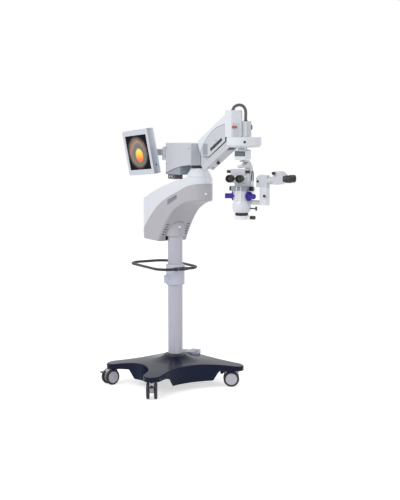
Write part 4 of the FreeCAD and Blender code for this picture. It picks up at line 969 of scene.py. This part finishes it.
def make_base():
    """The base's cover, its collar, and the connector box with its sockets and pull."""
    make_base_shell()
    turned_piece("base_collar", "stand", "black_rubber",
                 [(50, 198), (77, 198), (77.5, 200), (74, 205), (66, 209), (54, 212), (50, 212)],
                 (0, 0, 0), UP, 96, 1.0, hollow=True)
    dressed("connector_box", "connector_lilac", 3.0, 3)
    dressed("base_frame", "cast_iron_paint", 1.5)
    out = np.append(ahead(BOX_ANGLE), 0)
    side = np.array([-out[1], out[0], 0])
    for k, aside in enumerate((-16, 0, 16)):
        turned_piece("connector_socket_%d" % (k + 1), "stand", "black_plastic",
                     [(0, 1.2), (4, 1.2), (4.4, 2.4), (7, 2.4), (7.4, 0), (0, 0)],
                     out * BOX_FACE_R + side * aside + np.array([0, 0, SOCKET_Z]), out, 28,
                     0.3)
    # Painted highlight: a thin bright white bow that stands in for the curved highlight on the
    # connector box.
    t = np.linspace(0, 1, 15)[:, None]
    bow = (out * (214 + 44 * t) - side * (34 + 9 * np.sin(math.pi * t))
           + np.array(UP) * (161 + 19 * np.sin(math.pi * 0.5 * t)))
    piece("connector_pull", carried(bow, 2.6, 16), "stand", "rib_enamel")


def make_casters():
    """Twin wheels turned about their axle, with the fork and brake of the CAD model."""
    tyre = [(39, 0.2), (46, 0), (49.5, 1.2), (51.7, 4.2), (WHEEL_R, 8), (WHEEL_R, 12),
            (51.7, 15.8), (49.5, 18.8), (46, 20), (39, 19.8)]
    hub = [(0, 0.6), (39.2, 0.6), (39.2, 18.6), (37.6, 19.9), (36.2, 19.9), (34.8, 18.2),
           (12, 18.9), (11, 20.0), (0, 20.0)]
    rod = [(0, -15.5), (6, -15.5), (6, 15.5), (0, 15.5)]
    for name, (angle, turn) in CASTERS.items():
        t = math.radians(turn)
        across = np.array([math.cos(t), math.sin(t), 0])
        back = np.array([-math.sin(t), math.cos(t), 0])
        axle = (np.append(ahead(angle) * CASTER_R, 0) - back * CASTER_TRAIL
                + np.array([0, 0, WHEEL_R]))
        body = f"caster_{name}_wheels"
        starts = [(axle + across * side * HUB_HALF_GAP, across * side) for side in (-1, 1)]
        tyres = piece(body + "_tyres", merged(turned(tyre, at, axis, 72, hollow=True)
                                              for at, axis in starts), body, "tyre_rubber")
        piece(body + "_hubs", merged(turned(hub, at, axis, 72, 0.5) for at, axis in starts),
              body, "hub_plastic")
        turned_piece(body + "_axle", body, "turned_steel", rod, axle, across, 24)
        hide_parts(body)
        dressed(f"caster_{name}_fork", "fork_plastic", 2.0, 3)
        dressed(f"caster_{name}_brake", "black_plastic", 1.6)


# Column and push handle

def make_column():
    """The column as a turned tube, and the push handle as a tube along its loop.

    The loop is four quarter circles, joined by straight runs and sampled evenly. The grip's
    radius is 11.7 + 0.3 sin(0.9 k) at its point k.
    """
    column = turned_piece("column_finished", "stand", "column_enamel",
                          [(0, COLUMN_LOW), (COLUMN_R, COLUMN_LOW),
                           (COLUMN_R, COLUMN_TOP - 1), (COLUMN_R - 2, COLUMN_TOP),
                           (0, COLUMN_TOP)], (0, 0, 0), UP, 128)
    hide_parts("column_tube")

    r, t = HANDLE_CORNER_R, np.linspace(0, math.pi / 2, 20)
    x, front, back = HANDLE_HALF_WIDTH - r, HANDLE_FRONT_Y + r, HANDLE_BACK_Y - r
    loop = np.concatenate([
        np.column_stack([cx + r * np.cos(a + t), cy + r * np.sin(a + t)])
        for cx, cy, a in ((x, back, 0), (-x, back, math.pi / 2), (-x, front, math.pi),
                          (x, front, 1.5 * math.pi))])
    path = np.insert(even_steps(loop, 240, closed=True), 2, HANDLE_Z, axis=1)
    ring = piece("handle_tube_finished", carried(path, 9.0, closed=True), "stand",
                 "black_plastic")
    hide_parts("handle_ring")
    grip = [(9.02, -48), (11, -48), *((11.7 + 0.3 * math.sin(k * 0.9), h)
                                      for k, h in enumerate(np.linspace(-47, 47, 48))),
            (11, 48), (9.02, 48)]
    turned_piece("handle_grip", "stand", "black_rubber", grip, (0, HANDLE_FRONT_Y, HANDLE_Z),
                 (1, 0, 0), 40, hollow=True)
    dressed("handle_clamp", "clamp_plastic", 2.5, 3)
    for k, (dx, dz) in enumerate(((-24, 8), (24, 8), (-24, -8), (24, -8))):
        screw("clamp_screw_%d" % (k + 1), (dx, HANDLE_FRONT_Y - 12.6, HANDLE_Z + dz), AHEAD,
              "stand", 3.0)


# Swan neck

def neck_window(c, n):
    """Faces of the recessed window in the left side of the lower cover."""
    return ((c[:, 0] < -60) & (c[:, 0] > -108.9) & (c[:, 1] > -196) & (c[:, 1] < -79)
            & (c[:, 2] > 1211) & (c[:, 2] < 1289) & (np.abs(n[:, 0]) > 0.5)
            & (c[:, 2] > 1208 - 0.35 * (c[:, 1] + 80)))


def make_neck():
    """The swan neck's covers with their joints, plugs and the bearing's cone."""
    dressed("neck_upper_cover", jointed("white_enamel_jointed", "white_enamel", JOINT_FRONT),
            1.2)
    dressed("neck_lower_cover", jointed("neck_enamel_jointed", "neck_enamel", JOINT_FRONT), 1.0,
            regions=[("panel_enamel", neck_window)])
    sleeve = turned_piece("column_sleeve_finished", "stand",
                          jointed("sleeve_enamel", "neck_enamel", 0.0),
                          [(49.3, 1001), (61.5, 1001), (63, 1002.5), (63, 1074), (62, 1086),
                           (59, 1097), (54, 1104), (49.3, 1107.5)], (0, 0, 0), UP, 96,
                          hollow=True)
    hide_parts("column_sleeve")
    cone = turned_piece("bearing_cover_finished", "stand",
                        jointed("cone_enamel", "white_enamel", 0.0),
                        [(45.4, 1405), (77, 1405), (77, 1415), (75.5, 1419), (54.5, 1452),
                         (52.5, 1457), (50.5, 1459), (45.4, 1459)], (0, BEARING_Y, 0), UP, 96,
                        hollow=True)
    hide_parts("bearing_cover")
    for k, at in enumerate(((0, -62.6, 1064), (0, -402.6, 1300))):
        v, f = turned([(0, 1.8), (3, 1.6), (6, 0.9), (7.6, -0.6), (0, -0.6)], at, AHEAD, 32, 0.6)
        v[:, 0] *= 1.35         # the plugs are oval
        piece("plug_cap_%d" % (k + 1), (v, f), "stand", "rib_enamel")
    dressed("neck_frame", "casting_enamel", 1.2)
    dressed("power_supply", "folded_sheet", 1.5)


# Carriage

def make_carriage():
    """The carriage box with the tray, the connector panel and their fasteners."""
    # The middle faces under Z 1478.5, the underside of the box, take the grey of painted shade.
    dressed("carriage_cover", "carriage_enamel", 2.5, 3, regions=[
        ("panel_enamel", lambda c, n: (np.abs(c[:, 0]) < 80.5) & (c[:, 1] > -216)
         & (c[:, 1] < -34.5) & (c[:, 2] < 1478.5))])
    dressed("carriage_frame", "casting_enamel", 0.8, regions=[
        ("black_plastic", lambda c, n: (np.hypot(c[:, 0], c[:, 1] - BEARING_Y) < 46)
         & (c[:, 2] < 1478))])
    dressed("light_source", "folded_sheet", 1.5, regions=[
        ("connector_plastic", lambda c, n: c[:, 2] < 1416)])
    corners = ((-45, 1583), (-337, 1583), (-45, 1480), (-337, 1480))
    for k, (y, z) in enumerate(corners):
        screw("carriage_screw_%d" % (k + 1), (-86.2, y, z), (-1, 0, 0), "carriage", 3.4,
              "black_plastic")
    for k in range(5):
        turned_piece("signal_socket_%d" % (k + 1), "carriage",
                     "rib_enamel" if k % 2 else "black_plastic",
                     [(0, 0.4), (2.6, 0.4), (2.9, 2.2), (4.6, 2.2), (4.9, -0.4), (0, -0.4)],
                     (-74, -52 - k * 14.5, 1399), (-1, 0, 0), 24, 0.25)


# Monitor

def lean(p):
    """The monitor's roll of -9 degrees about Y, then -4 about X, through its centre."""
    q = np.asarray(p, float) - SCREEN_CENTRE
    a, b = math.radians(-9.0), math.radians(-4.0)
    x = q[..., 0] * math.cos(a) + q[..., 2] * math.sin(a)
    z = -q[..., 0] * math.sin(a) + q[..., 2] * math.cos(a)
    return np.stack([x, q[..., 1] * math.cos(b) - z * math.sin(b),
                     q[..., 1] * math.sin(b) + z * math.cos(b)], -1) + SCREEN_CENTRE


def make_monitor():
    """The monitor's shells, and its screen as a flat grid that carries the picture."""
    dressed("monitor_case", "monitor_plastic", 3.0, 3)
    dressed("monitor_arm", "carriage_enamel", 2.5, 3)
    dressed("monitor_panel", "black_plastic", 0.6)
    x, y, z = SCREEN_CENTRE
    u, v = unit_square(25, 19)
    pts = lean(np.stack([np.full(u.shape, x - GLASS_FORWARD), y + SCREEN_WIDTH * (0.5 - u),
                         z + SCREEN_HEIGHT * (v - 0.5)], -1))
    piece("screen_glass", (pts, grid_faces(25, 19)[:, ::-1]), "monitor", screen_picture(),
          np.stack([u, v], -1), flat=True)
    v, f = turned([(0, 1.2), (4.2, 1.0), (5, 0.2), (5, -1), (0, -1)], (x, y - 183, z - 92),
                  AHEAD, 24)
    piece("monitor_button", (lean(v), f), "monitor", "black_plastic")


# Spring arm

def arm_point(s, across, x):
    """A point s along the arm from its rear pivot, across it and x to the side.

    With a the arm's rise, Y goes down by s cos a - across sin a, Z up by s sin a +
    across cos a.
    """
    s, across = np.asarray(s, float), np.asarray(across, float)
    y = ARM_PIVOT_Y - s * math.cos(ARM_RISE) + across * math.sin(ARM_RISE)
    z = ARM_PIVOT_Z + s * math.sin(ARM_RISE) + across * math.cos(ARM_RISE)
    return np.stack([np.broadcast_to(x, y.shape), y, z], -1)


def make_arm():
    """The spring arm's cover with its slot and plates, and the lower link."""
    dressed("arm_cover", arm_finish(), 2.5, 3)
    dressed("arm_beam", "turned_steel", 0.8)
    dressed("arm_gas_spring", "turned_steel", 0.8)
    dressed("lower_link", "carriage_enamel", 1.5)
    slot_middle, plate_y, plate_z = [138, -39], -455, 1580
    for side, name in SIDES:
        def along(p, side=side):
            return arm_point(p[:, 0], p[:, 1], side * (ARM_HALF_WIDTH + p[:, 2]))

        def upright(p, side=side):
            return np.stack([side * (ARM_HALF_WIDTH + p[:, 2]), plate_y + p[:, 0],
                             plate_z + p[:, 1]], -1)

        piece("arm_slot_" + name, slab(pill(79, 10.5) + slot_middle, -0.6, 1.0, along),
              "spring_arm", "black_rubber")
        piece("arm_slot_rim_" + name, slab(pill(80.5, 12) + slot_middle, -0.6, 0.8, along),
              "spring_arm", "white_enamel")
        # The caps and the pivot plates take the grey of painted shade.
        turned_piece("arm_cap_" + name, "spring_arm", "panel_enamel",
                     [(0, 1.6), (4.5, 1.6), (5, 1), (5, -0.6), (0, -0.6)],
                     arm_point(147.5, -17, side * ARM_HALF_WIDTH), (side, 0, 0), 28, 0.3)
        piece("arm_pivot_plate_" + name, slab(round_rect(28, 36, 9), -0.5, 1.6, upright),
              "spring_arm", "panel_enamel")
    down = np.array([0, -math.sin(ARM_RISE), -math.cos(ARM_RISE)])
    turned_piece("link_stop_knob", "lower_link", "black_rubber",
                 [(0, -2), (5, -2), (5, 3), (9.5, 4), (10.5, 6), (10.5, 15), (9, 17), (0, 17)],
                 arm_point(118, -22, 0) + [0, 10, -112], down, 40, 0.6)


# Arm head

def hose_path():
    """Even points on the light hose's smooth spline, as Blender works it out."""
    route = [(-18, -752, 1812), (-17, -753, 1830), (-4, -758, 1843), (14, -766, 1850),
             (34, -775, 1846), (45, -781, 1834), (53, -784, 1812), (52, -783, 1780),
             (52, -784, 1747)]
    curve = bpy.data.curves.new("hose_route", "CURVE")
    curve.dimensions = "3D"
    spline = curve.splines.new("NURBS")
    spline.points.add(len(route) - 1)
    for point, co in zip(spline.points, route):
        point.co = (co[0] * MM, co[1] * MM, co[2] * MM, 1.0)
    spline.order_u = 3
    spline.use_endpoint_u = True
    spline.resolution_u = 16
    holder = bpy.data.objects.new("hose_route", curve)
    line = bpy.data.meshes.new_from_object(holder)
    co = np.empty(len(line.vertices) * 3)
    line.vertices.foreach_get("co", co)
    bpy.data.objects.remove(holder)
    bpy.data.meshes.remove(line)
    return even_steps(co.reshape(-1, 3) / MM, 160)


def make_head():
    """The arm's head, the lamp box, the release lever and the hose between them."""
    dressed("head_housing", "white_enamel", 2.0, 3)
    dressed("lamp_box", "carriage_enamel", 2.5, 3)
    dressed("positioner_housing", "white_enamel", 1.8, 3)
    dressed("reset_button", "black_plastic", 1.0)

    def front(p):
        return np.stack([p[:, 0], LEVER_PLATE_Y - p[:, 2], p[:, 1]], -1)

    piece("lever_plate", slab(round_rect(22, 41, 3) + [-6, 1702], -0.4, 1.0, front), "arm_head",
          "casting_enamel")
    # Painted highlights: bright white strips on the head's front and the lamp box's front, where
    # light catches their vertical edges.
    for k, x in enumerate((26.0, 35.0)):
        piece("head_rib_%d" % (k + 1),
              soft_box((x - 2.4, -770.5, 1664), (x + 2.4, -766.6, 1806), 1.5), "arm_head",
              "rib_enamel")
    piece("lamp_rib", soft_box((41.5, -802.4, 1664), (46.5, -799.6, 1748), 1.3), "arm_head",
          "rib_enamel")
    screw("lever_plate_screw", (2, -768.4, 1672), AHEAD, "arm_head", 3.4, "satin_aluminium")
    for name, high, at in (("head", 4.2, (-18, -752, 1818)), ("lamp", 5.8, (52, -784, 1753))):
        turned_piece("hose_gland_" + name, "arm_head", "black_plastic",
                     [(8.9, 0), (11.6, 0), (11.6, high - 0.8), (10.8, high), (8.9, high)],
                     at, UP, 36, hollow=True)
    turned_piece("lamp_vent_cap", "arm_head", "black_rubber",
                 [(0, -1), (19, -1), (20, 1), (20, 9), (18, 11), (0, 11)], (84, -775, 1717),
                 (1, 0, 0), 48, 0.8)

    lever = piece("release_lever_finished",
                  slab(pill(15.5, 7.6) + [-19, LEVER_Z], 1.0, 8.0, front, 2.0),
                  "release_lever", "lever_lacquer")
    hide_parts("release_lever")
    turned_piece("release_lever_shaft", "release_lever", "turned_steel",
                 [(0, -1), (3.5, -1), (3.5, 4), (0, 4)], (-12, LEVER_PLATE_Y, LEVER_Z),
                 (0, 1, 0), 20)
    turned_piece("release_lever_tip", "release_lever", "black_plastic",
                 [(0, 2.2), (3.4, 2.0), (4.2, 1.0), (4.2, -1.0), (0, -1.0)],
                 (-7.5, -776, LEVER_Z), AHEAD, 24)

    hose = piece("light_hose_finished", carried(hose_path(), 8.8, 28), "arm_head",
                 hose_sleeve(), np.stack(unit_square(162, 28), -1))
    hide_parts("light_hose")


# Microscope

def make_hanger():
    """The slides, the readout block with its window, and the suspension arm."""
    dressed("cross_slide", "turned_steel", 0.5)
    dressed("long_slide", "turned_steel", 0.5)
    dressed("display_block", "white_enamel", 2.0, 3)
    dressed("suspension_arm", "casting_enamel", 3.0, 3)
    clip = [(18, 96, 1398), (18, 101, 1430), (18, 104, 1452), (18, 122, 1454), (18, 128, 1434),
            (18, 124, 1416), (18, 129, 1396)]
    piece("cable_clip", carried(to_stand(soften(clip, 7.0)), 2.2, 14), "suspension_arm",
          "black_plastic")
    u, v = unit_square(13, 7)
    pts = np.stack([58 * (u - 0.5), np.full(u.shape, READOUT_Y - 0.5),
                    READOUT_Z - 11.5 + 22 * v], -1)
    piece("readout_glass", (to_stand(pts), grid_faces(13, 7)[:, ::-1]), "display_block",
          readout(), np.stack([u, v], -1), flat=True)
    piece("readout_bezel", slab(round_rect(32.5, 14.5, 2.5) + [0, READOUT_Z], 0, 0.4,
                                lambda p: to_stand(np.stack([p[:, 0], READOUT_Y - p[:, 2],
                                                             p[:, 1]], -1)), 0.1),
          "display_block", "readout_rim")


def make_microscope():
    """The microscope's body with its ribs, the objective and the accessory ring."""
    dressed("microscope_body", "white_enamel", 2.0, 3)
    dressed("zoom_optics", "black_plastic", 0.5)
    dressed("accessory_ring", "rib_enamel", 1.6, 3)
    for k, x in enumerate((-14.0, 14.0)):
        y = OPTICS_Y - math.sqrt(46 ** 2 - x ** 2)
        v, f = soft_box((x - 3.2, y - 6.4, 1270), (x + 3.2, y + 3.5, 1371), 2.2)
        piece("body_rib_%d" % (k + 1), (to_stand(v), f), "microscope", "rib_enamel")
    # The yoke takes the grey of painted shade.
    v, f = soft_box((-50, -57.8, 1343.5), (50, 24, 1372), 6.0)
    piece("body_yoke", (to_stand(v), f), "microscope", "panel_enamel")
    turned_piece("body_bell", "microscope", "white_enamel",
                 [(44, 1284), (46.2, 1284), (49.5, 1276), (53.5, 1264), (55.2, 1250),
                  (54, 1235), (49.5, 1223), (45, 1216.5), (42.5, 1214.6), (38, 1214.6),
                  (41, 1230)], to_stand([0, OPTICS_Y, 0]), UP, 96, hollow=True)
    ring = turned_piece("objective_ring", "microscope", "black_rubber",
                        [(26.2, 0), (33, 0), (38, 2.2), (39, 5), (39, 12), (37, 16.6),
                         (26.2, 16.6)], to_stand([0, OPTICS_Y, 1197]), UP, 180, lobes=12,
                        depth=0.13, lobed=(1.0, 14.0), hollow=True)
    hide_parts("objective")
    turned_piece("objective_lens", "microscope", lens_glass(),
                 [(0, 0.0), (10, 0.4), (19, 1.6), (25.9, 3.6), (25.9, 8), (0, 8)],
                 to_stand([0, OPTICS_Y, 1202]), UP, 64, 0.4)
    for k in range(6):
        a = math.radians(60 * k + 20)
        at = to_stand([32 * math.cos(a), OPTICS_Y + 32 * math.sin(a), 1197.2])
        screw("objective_screw_%d" % (k + 1), at, (0, 0, -1), "microscope", 1.8)


def make_controls():
    """The violet hand knobs and the black knobs and levers of the body."""
    x = scope_axis([1, 0, 0])
    for side, name in SIDES:
        a = math.radians(25)
        node = f"hand_knob_{name}"
        knob = turned_piece(node + "_finished", node, "knob_silicone",
                            [(0, 38), (6, 38), (6, 53), (25, 53), (28, 55.5), (28, 59.5),
                             (25.5, 62), (17.5, 62.5), (16, 64.5), (15.2, 80), (15.6, 96),
                             (16, 100), (13, 104), (0, 104)], to_stand([0, 0, 1313]),
                            scope_axis([side * math.cos(a), -math.sin(a), 0]), 120, 1.0,
                            lobes=10, depth=0.07, lobed=(66, 98))
        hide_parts(node)
    shaft = turned_piece("focus_shaft", "focus_knobs", "turned_steel",
                         [(0, -58), (5, -58), (5, 56), (0, 56)],
                         to_stand([0, OPTICS_Y, FOCUS_Z]), x, 24)
    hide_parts("focus_knobs")
    for name, start, way, length in (("left", -58, -1, 18), ("right", 52, 1, 22)):
        knurled("focus_knob_" + name, "focus_knobs", to_stand([start, OPTICS_Y, FOCUS_Z]),
                x * way, 14, length)
    rod = turned_piece("filter_lever_rod", "filter_lever", "black_plastic",
                       [(0, 40), (3.9, 40), (3.9, 88), (4.6, 92), (0, 92)],
                       to_stand([0, -8, 1240]), x, 24, 0.4)
    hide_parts("filter_lever")
    turned_piece("filter_lever_grip", "filter_lever", "black_rubber",
                 [(0, -12), (4.6, -12), (6, -10), (5.2, 0), (6, 10), (4.6, 12), (0, 12)],
                 to_stand([92, -8, 1240]), UP, 32, 1.0)
    at = to_stand([0, OPTICS_Y, RING_CLAMP_Z])
    pin = turned_piece("ring_clamp_screw", "ring_clamp_knob", "turned_steel",
                       [(0, 46), (3.9, 46), (3.9, 58), (0, 58)], at, x, 20)
    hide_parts("ring_clamp_knob")
    knurled("ring_clamp_grip", "ring_clamp_knob", at + x * 57, x, 11, 29, 16, 0.14)


# Binoculars

def make_binocular():
    """The binocular tube, its silver drum and both eyepieces."""
    dressed("binocular_tube", "casting_enamel", 2.2, 3)
    x, y = scope_axis([1, 0, 0]), scope_axis([0, -1, 0])
    drum = [(0, -1), (23, -1), (26.2, 0.4), (27.7, 2), (27.7, 5), (25.4, 6.5), (18, 7.6), (8, 8),
            (0, 8)]
    barrel = [(0, 28.3), (15, 28.3), (15, 54.3), (0, 54.3)]
    ribs = [(23 - 0.9 * (k % 2), 62.3 + 2.0 * k) for k in range(6)]
    cup = [(20, 50.3), (22, 52.3), (22, 59.3), (23, 61.3), *ribs, (23, 82.3), (21.8, 86.3),
           (18, 86.3), (15, 79.3), (12.5, 76.3), (0, 76.3), (0, 50.3)]
    lens = [(0, 76.5), (7, 76.0), (12.6, 74.6), (12.6, 73), (0, 73)]
    for side, name in SIDES:
        turned_piece("drum_cap_" + name, "binocular_tube", "satin_aluminium", drum,
                     to_stand([side * 45, EYE_Y, EYE_Z]), x * side, 96, 0.8)
        body = "eyepiece_" + name
        at = to_stand([side * EYE_HALF_SPACING, EYE_Y, EYE_Z])
        tube = turned_piece(body + "_barrel", body, "turned_steel", barrel, at, y, 48, 0.6)
        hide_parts(body)
        turned_piece(body + "_cup", body, "black_rubber", cup, at, y, 72)
        turned_piece(body + "_lens", body, lens_glass(), lens, at, y, 48)
    at = to_stand([0, -62, 1458])
    rod = turned_piece("spacing_rod", "spacing_knob", "turned_steel",
                       [(0, -50), (4.9, -50), (4.9, 50), (0, 50)], at, x, 20)
    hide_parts("spacing_knob")
    for side, name in SIDES:
        knurled("spacing_grip_" + name, "spacing_knob", at + x * side * 48, x * side, 9, 24, 18,
                0.1)
    v, f = soft_box((-34, -48, 1390), (34, 28, 1396.4), 2.0)
    piece("turning_band", (to_stand(v), f), "binocular_tube", "black_plastic")


def assistant_blacks(c, n):
    """Faces of the assistant's eyepieces and of the knob on the binocular's side."""
    q = scope_frame(c)
    return (q[:, 0] > 270.4) | (q[:, 1] < -44.6)


def make_assistant():
    """The assistant's housing, head and binocular with its eyepieces."""
    dressed("assistant_housing", "white_enamel", 2.5, 3)
    dressed("assistant_head", "casting_enamel", 2.0, 3)
    dressed("assistant_binocular", "casting_enamel", 2.0, 3,
            regions=[("black_rubber", assistant_blacks)])
    x, y = scope_axis([1, 0, 0]), scope_axis([0, -1, 0])
    turned_piece("assistant_side_button", "microscope", "black_rubber",
                 [(0, 0), (6, 0), (8.5, 2), (8.5, 7), (7, 9), (0, 9)],
                 to_stand([154, -33, 1317]), y, 40, 0.8)
    turned_piece("assistant_lock_knob", "assistant_head", "black_rubber",
                 [(0, -0.5), (5, -0.5), (6.4, 1.5), (6.4, 8), (5.4, 9.5), (0, 9.5)],
                 to_stand([106, -22, 1402]), y, 36, 0.8)
    ribs = [(22.8 - 1.2 * (k % 2), 106 + 2.2 * k) for k in range(9)]
    cup = [(14.8, 95), (21, 96), (22, 98), (22, 104), *ribs, (22.5, 128), (21, 132.5),
           (17.5, 132.5), (13, 124), (0, 123.5), (0, 95)]
    lens = [(0, 126), (7, 125.6), (12, 124.6), (12, 123), (0, 123)]
    for side, name in SIDES:
        at = to_stand([ASSISTANT_X, side * EYE_HALF_SPACING, EYE_Z])
        turned_piece("assistant_cup_" + name, "assistant_binocular", "black_rubber", cup, at, x,
                     96, lobes=24, depth=0.05, lobed=(104, 126))
        turned_piece("assistant_lens_" + name, "assistant_binocular", lens_glass(), lens, at, x,
                     48)


# Stage, in metres

def seen_directly(tree):
    """1 for rays from the camera and for mirrored ones, 0 for the light on the object."""
    path = add_node(tree, "LightPath").outputs
    return maths(tree, "MAXIMUM", path["Is Camera Ray"], path["Is Glossy Ray"])


def placed(obj, at, x, z):
    """Stands a lamp or the camera at a point, with its X along x and its back along z."""
    bpy.context.scene.collection.objects.link(obj)
    pose = np.eye(4)
    pose[:3, 0], pose[:3, 1], pose[:3, 2], pose[:3, 3] = x, np.cross(z, x), z, at
    obj.matrix_world = Matrix(pose.tolist())


def area_light(name, at, aim, size, power):
    """A round soft light that faces the aim."""
    light = bpy.data.lights.new(name, "AREA")
    light.shape = "DISK"
    light.size = size
    light.energy = power
    d = np.asarray(aim, float) - np.asarray(at, float)
    z = -d / np.linalg.norm(d)
    x = np.cross(UP, z)
    placed(bpy.data.objects.new(name, light), at, x / np.linalg.norm(x), z)


def make_floor():
    """A plain pale floor just under the wheels, 18 m square."""
    m, tree, shader, _ = new_material("studio_floor")
    feed(tree, shader, {
        "Base Color": (0.86, 0.86, 0.87, 1), "Roughness": 0.9, "Specular IOR Level": 0.1,
        "Emission Color": (1, 1, 1, 1),
        "Emission Strength": maths(tree, "MULTIPLY", seen_directly(tree), 0.6)})
    half, z = 9.0, -0.0002
    me = bpy.data.meshes.new("floor")
    me.from_pydata([(-half, -half, z), (half, -half, z), (half, half, z), (-half, half, z)],
                   [], [(0, 1, 2, 3)])
    floor = bpy.data.objects.new("floor", me)
    me.materials.append(m)
    bpy.context.scene.collection.objects.link(floor)


def make_room():
    """Even room light, which the camera sees as white."""
    world = bpy.data.worlds.new("studio")
    bpy.context.scene.world = world
    world.use_nodes = True
    tree = world.node_tree
    tree.nodes.clear()
    level = maths(tree, "MULTIPLY_ADD", seen_directly(tree), 1.0 - sizes().light,
                  sizes().light)
    room = add_node(tree, "Background", {"Color": (1, 1, 1, 1), "Strength": level})
    add_node(tree, "OutputWorld", {"Surface": room.outputs[0]})


def make_camera():
    """The photograph's camera: 1075 pixels of focal length on a frame 500 high."""
    camera = bpy.data.cameras.new("camera")
    camera.lens = 1075.0 / 500.0 * 36.0
    camera.sensor_width = 36.0
    camera.sensor_fit = "AUTO"
    camera.clip_end = 100.0
    obj = bpy.data.objects.new("camera", camera)
    turn, pitch = math.radians(-30.0), math.radians(6.63)
    back = np.array([math.sin(turn) * math.cos(pitch), -math.cos(turn) * math.cos(pitch),
                     math.sin(pitch)])
    placed(obj, (-3.4071, -6.2313, 1.730), (math.cos(turn), math.sin(turn), 0), back)
    bpy.context.scene.camera = obj


def make_stage():
    """Plain pale floor, soft light and the photograph's camera."""
    make_floor()
    make_room()
    area_light("key_light", (-3.6, -1.2, 3.6), (0, -0.3, 1.1), 2.4, 74)
    area_light("fill_light", (2.6, -4.2, 2.4), (0, -0.3, 1.0), 2.6, 26)
    make_camera()
    bpy.context.scene.view_settings.view_transform = "Standard"


# Operators

class MICROSCOPE_OT_stage(Operator):
    """Add the floor, the light and the camera"""
    bl_idname = "microscope.stage"
    bl_label = "Stage"

    def execute(self, context):
        make_stage()
        return {"FINISHED"}


class MICROSCOPE_OT_base(Operator):
    """Make the base's cover, its collar and the connector box"""
    bl_idname = "microscope.base"
    bl_label = "Base"

    def execute(self, context):
        make_base()
        return {"FINISHED"}


class MICROSCOPE_OT_casters(Operator):
    """Make the four casters"""
    bl_idname = "microscope.casters"
    bl_label = "Casters"

    def execute(self, context):
        make_casters()
        return {"FINISHED"}


class MICROSCOPE_OT_column(Operator):
    """Make the column and the push handle"""
    bl_idname = "microscope.column"
    bl_label = "Column and Handle"

    def execute(self, context):
        make_column()
        return {"FINISHED"}


class MICROSCOPE_OT_neck(Operator):
    """Make the swan neck's covers"""
    bl_idname = "microscope.neck"
    bl_label = "Swan Neck"

    def execute(self, context):
        make_neck()
        return {"FINISHED"}


class MICROSCOPE_OT_carriage(Operator):
    """Make the carriage box"""
    bl_idname = "microscope.carriage"
    bl_label = "Carriage"

    def execute(self, context):
        make_carriage()
        return {"FINISHED"}


class MICROSCOPE_OT_monitor(Operator):
    """Make the monitor"""
    bl_idname = "microscope.monitor"
    bl_label = "Monitor"

    def execute(self, context):
        make_monitor()
        return {"FINISHED"}


class MICROSCOPE_OT_arm(Operator):
    """Make the spring arm and its head"""
    bl_idname = "microscope.arm"
    bl_label = "Spring Arm"

    def execute(self, context):
        make_arm()
        make_head()
        return {"FINISHED"}


class MICROSCOPE_OT_scope(Operator):
    """Make the microscope and its controls"""
    bl_idname = "microscope.scope"
    bl_label = "Microscope"

    def execute(self, context):
        make_hanger()
        make_microscope()
        make_controls()
        return {"FINISHED"}


class MICROSCOPE_OT_binoculars(Operator):
    """Make the surgeon's and the assistant's binoculars"""
    bl_idname = "microscope.binoculars"
    bl_label = "Binoculars"

    def execute(self, context):
        make_binocular()
        make_assistant()
        return {"FINISHED"}


PIECES = (MICROSCOPE_OT_stage, MICROSCOPE_OT_base, MICROSCOPE_OT_casters,
          MICROSCOPE_OT_column, MICROSCOPE_OT_neck, MICROSCOPE_OT_carriage,
          MICROSCOPE_OT_monitor, MICROSCOPE_OT_arm, MICROSCOPE_OT_scope,
          MICROSCOPE_OT_binoculars)


class MICROSCOPE_PT_panel(Panel):
    """The microscope's pieces, sizes and colours"""
    bl_idname = "MICROSCOPE_PT_panel"
    bl_label = "Microscope"
    bl_space_type = "VIEW_3D"
    bl_region_type = "UI"
    bl_category = "Microscope"

    def draw(self, context):
        for group in (sizes(), colours()):
            column = self.layout.column()
            for key in group.__annotations__:
                column.prop(group, key)
        column = self.layout.column()
        for operator in PIECES:
            column.operator(operator.bl_idname)


CLASSES = (MicroscopeColours, MicroscopeSizes, *PIECES, MICROSCOPE_PT_panel)


def register():
    """Adds the classes and the scene's settings."""
    for cls in CLASSES:
        bpy.utils.register_class(cls)
    bpy.types.Scene.microscope_colours = PointerProperty(type=MicroscopeColours)
    bpy.types.Scene.microscope_sizes = PointerProperty(type=MicroscopeSizes)


def unregister():
    """Takes away what register added."""
    del bpy.types.Scene.microscope_sizes
    del bpy.types.Scene.microscope_colours
    for cls in reversed(CLASSES):
        bpy.utils.unregister_class(cls)


def main():
    """Makes the stage and every piece, then writes the boxes of the CAD and visual models."""
    register()
    ops = bpy.ops.microscope
    ops.stage()
    ops.base()
    ops.casters()
    ops.column()
    ops.neck()
    ops.carriage()
    ops.monitor()
    ops.arm()
    ops.scope()
    ops.binoculars()


if __name__ == "__main__":
    main()
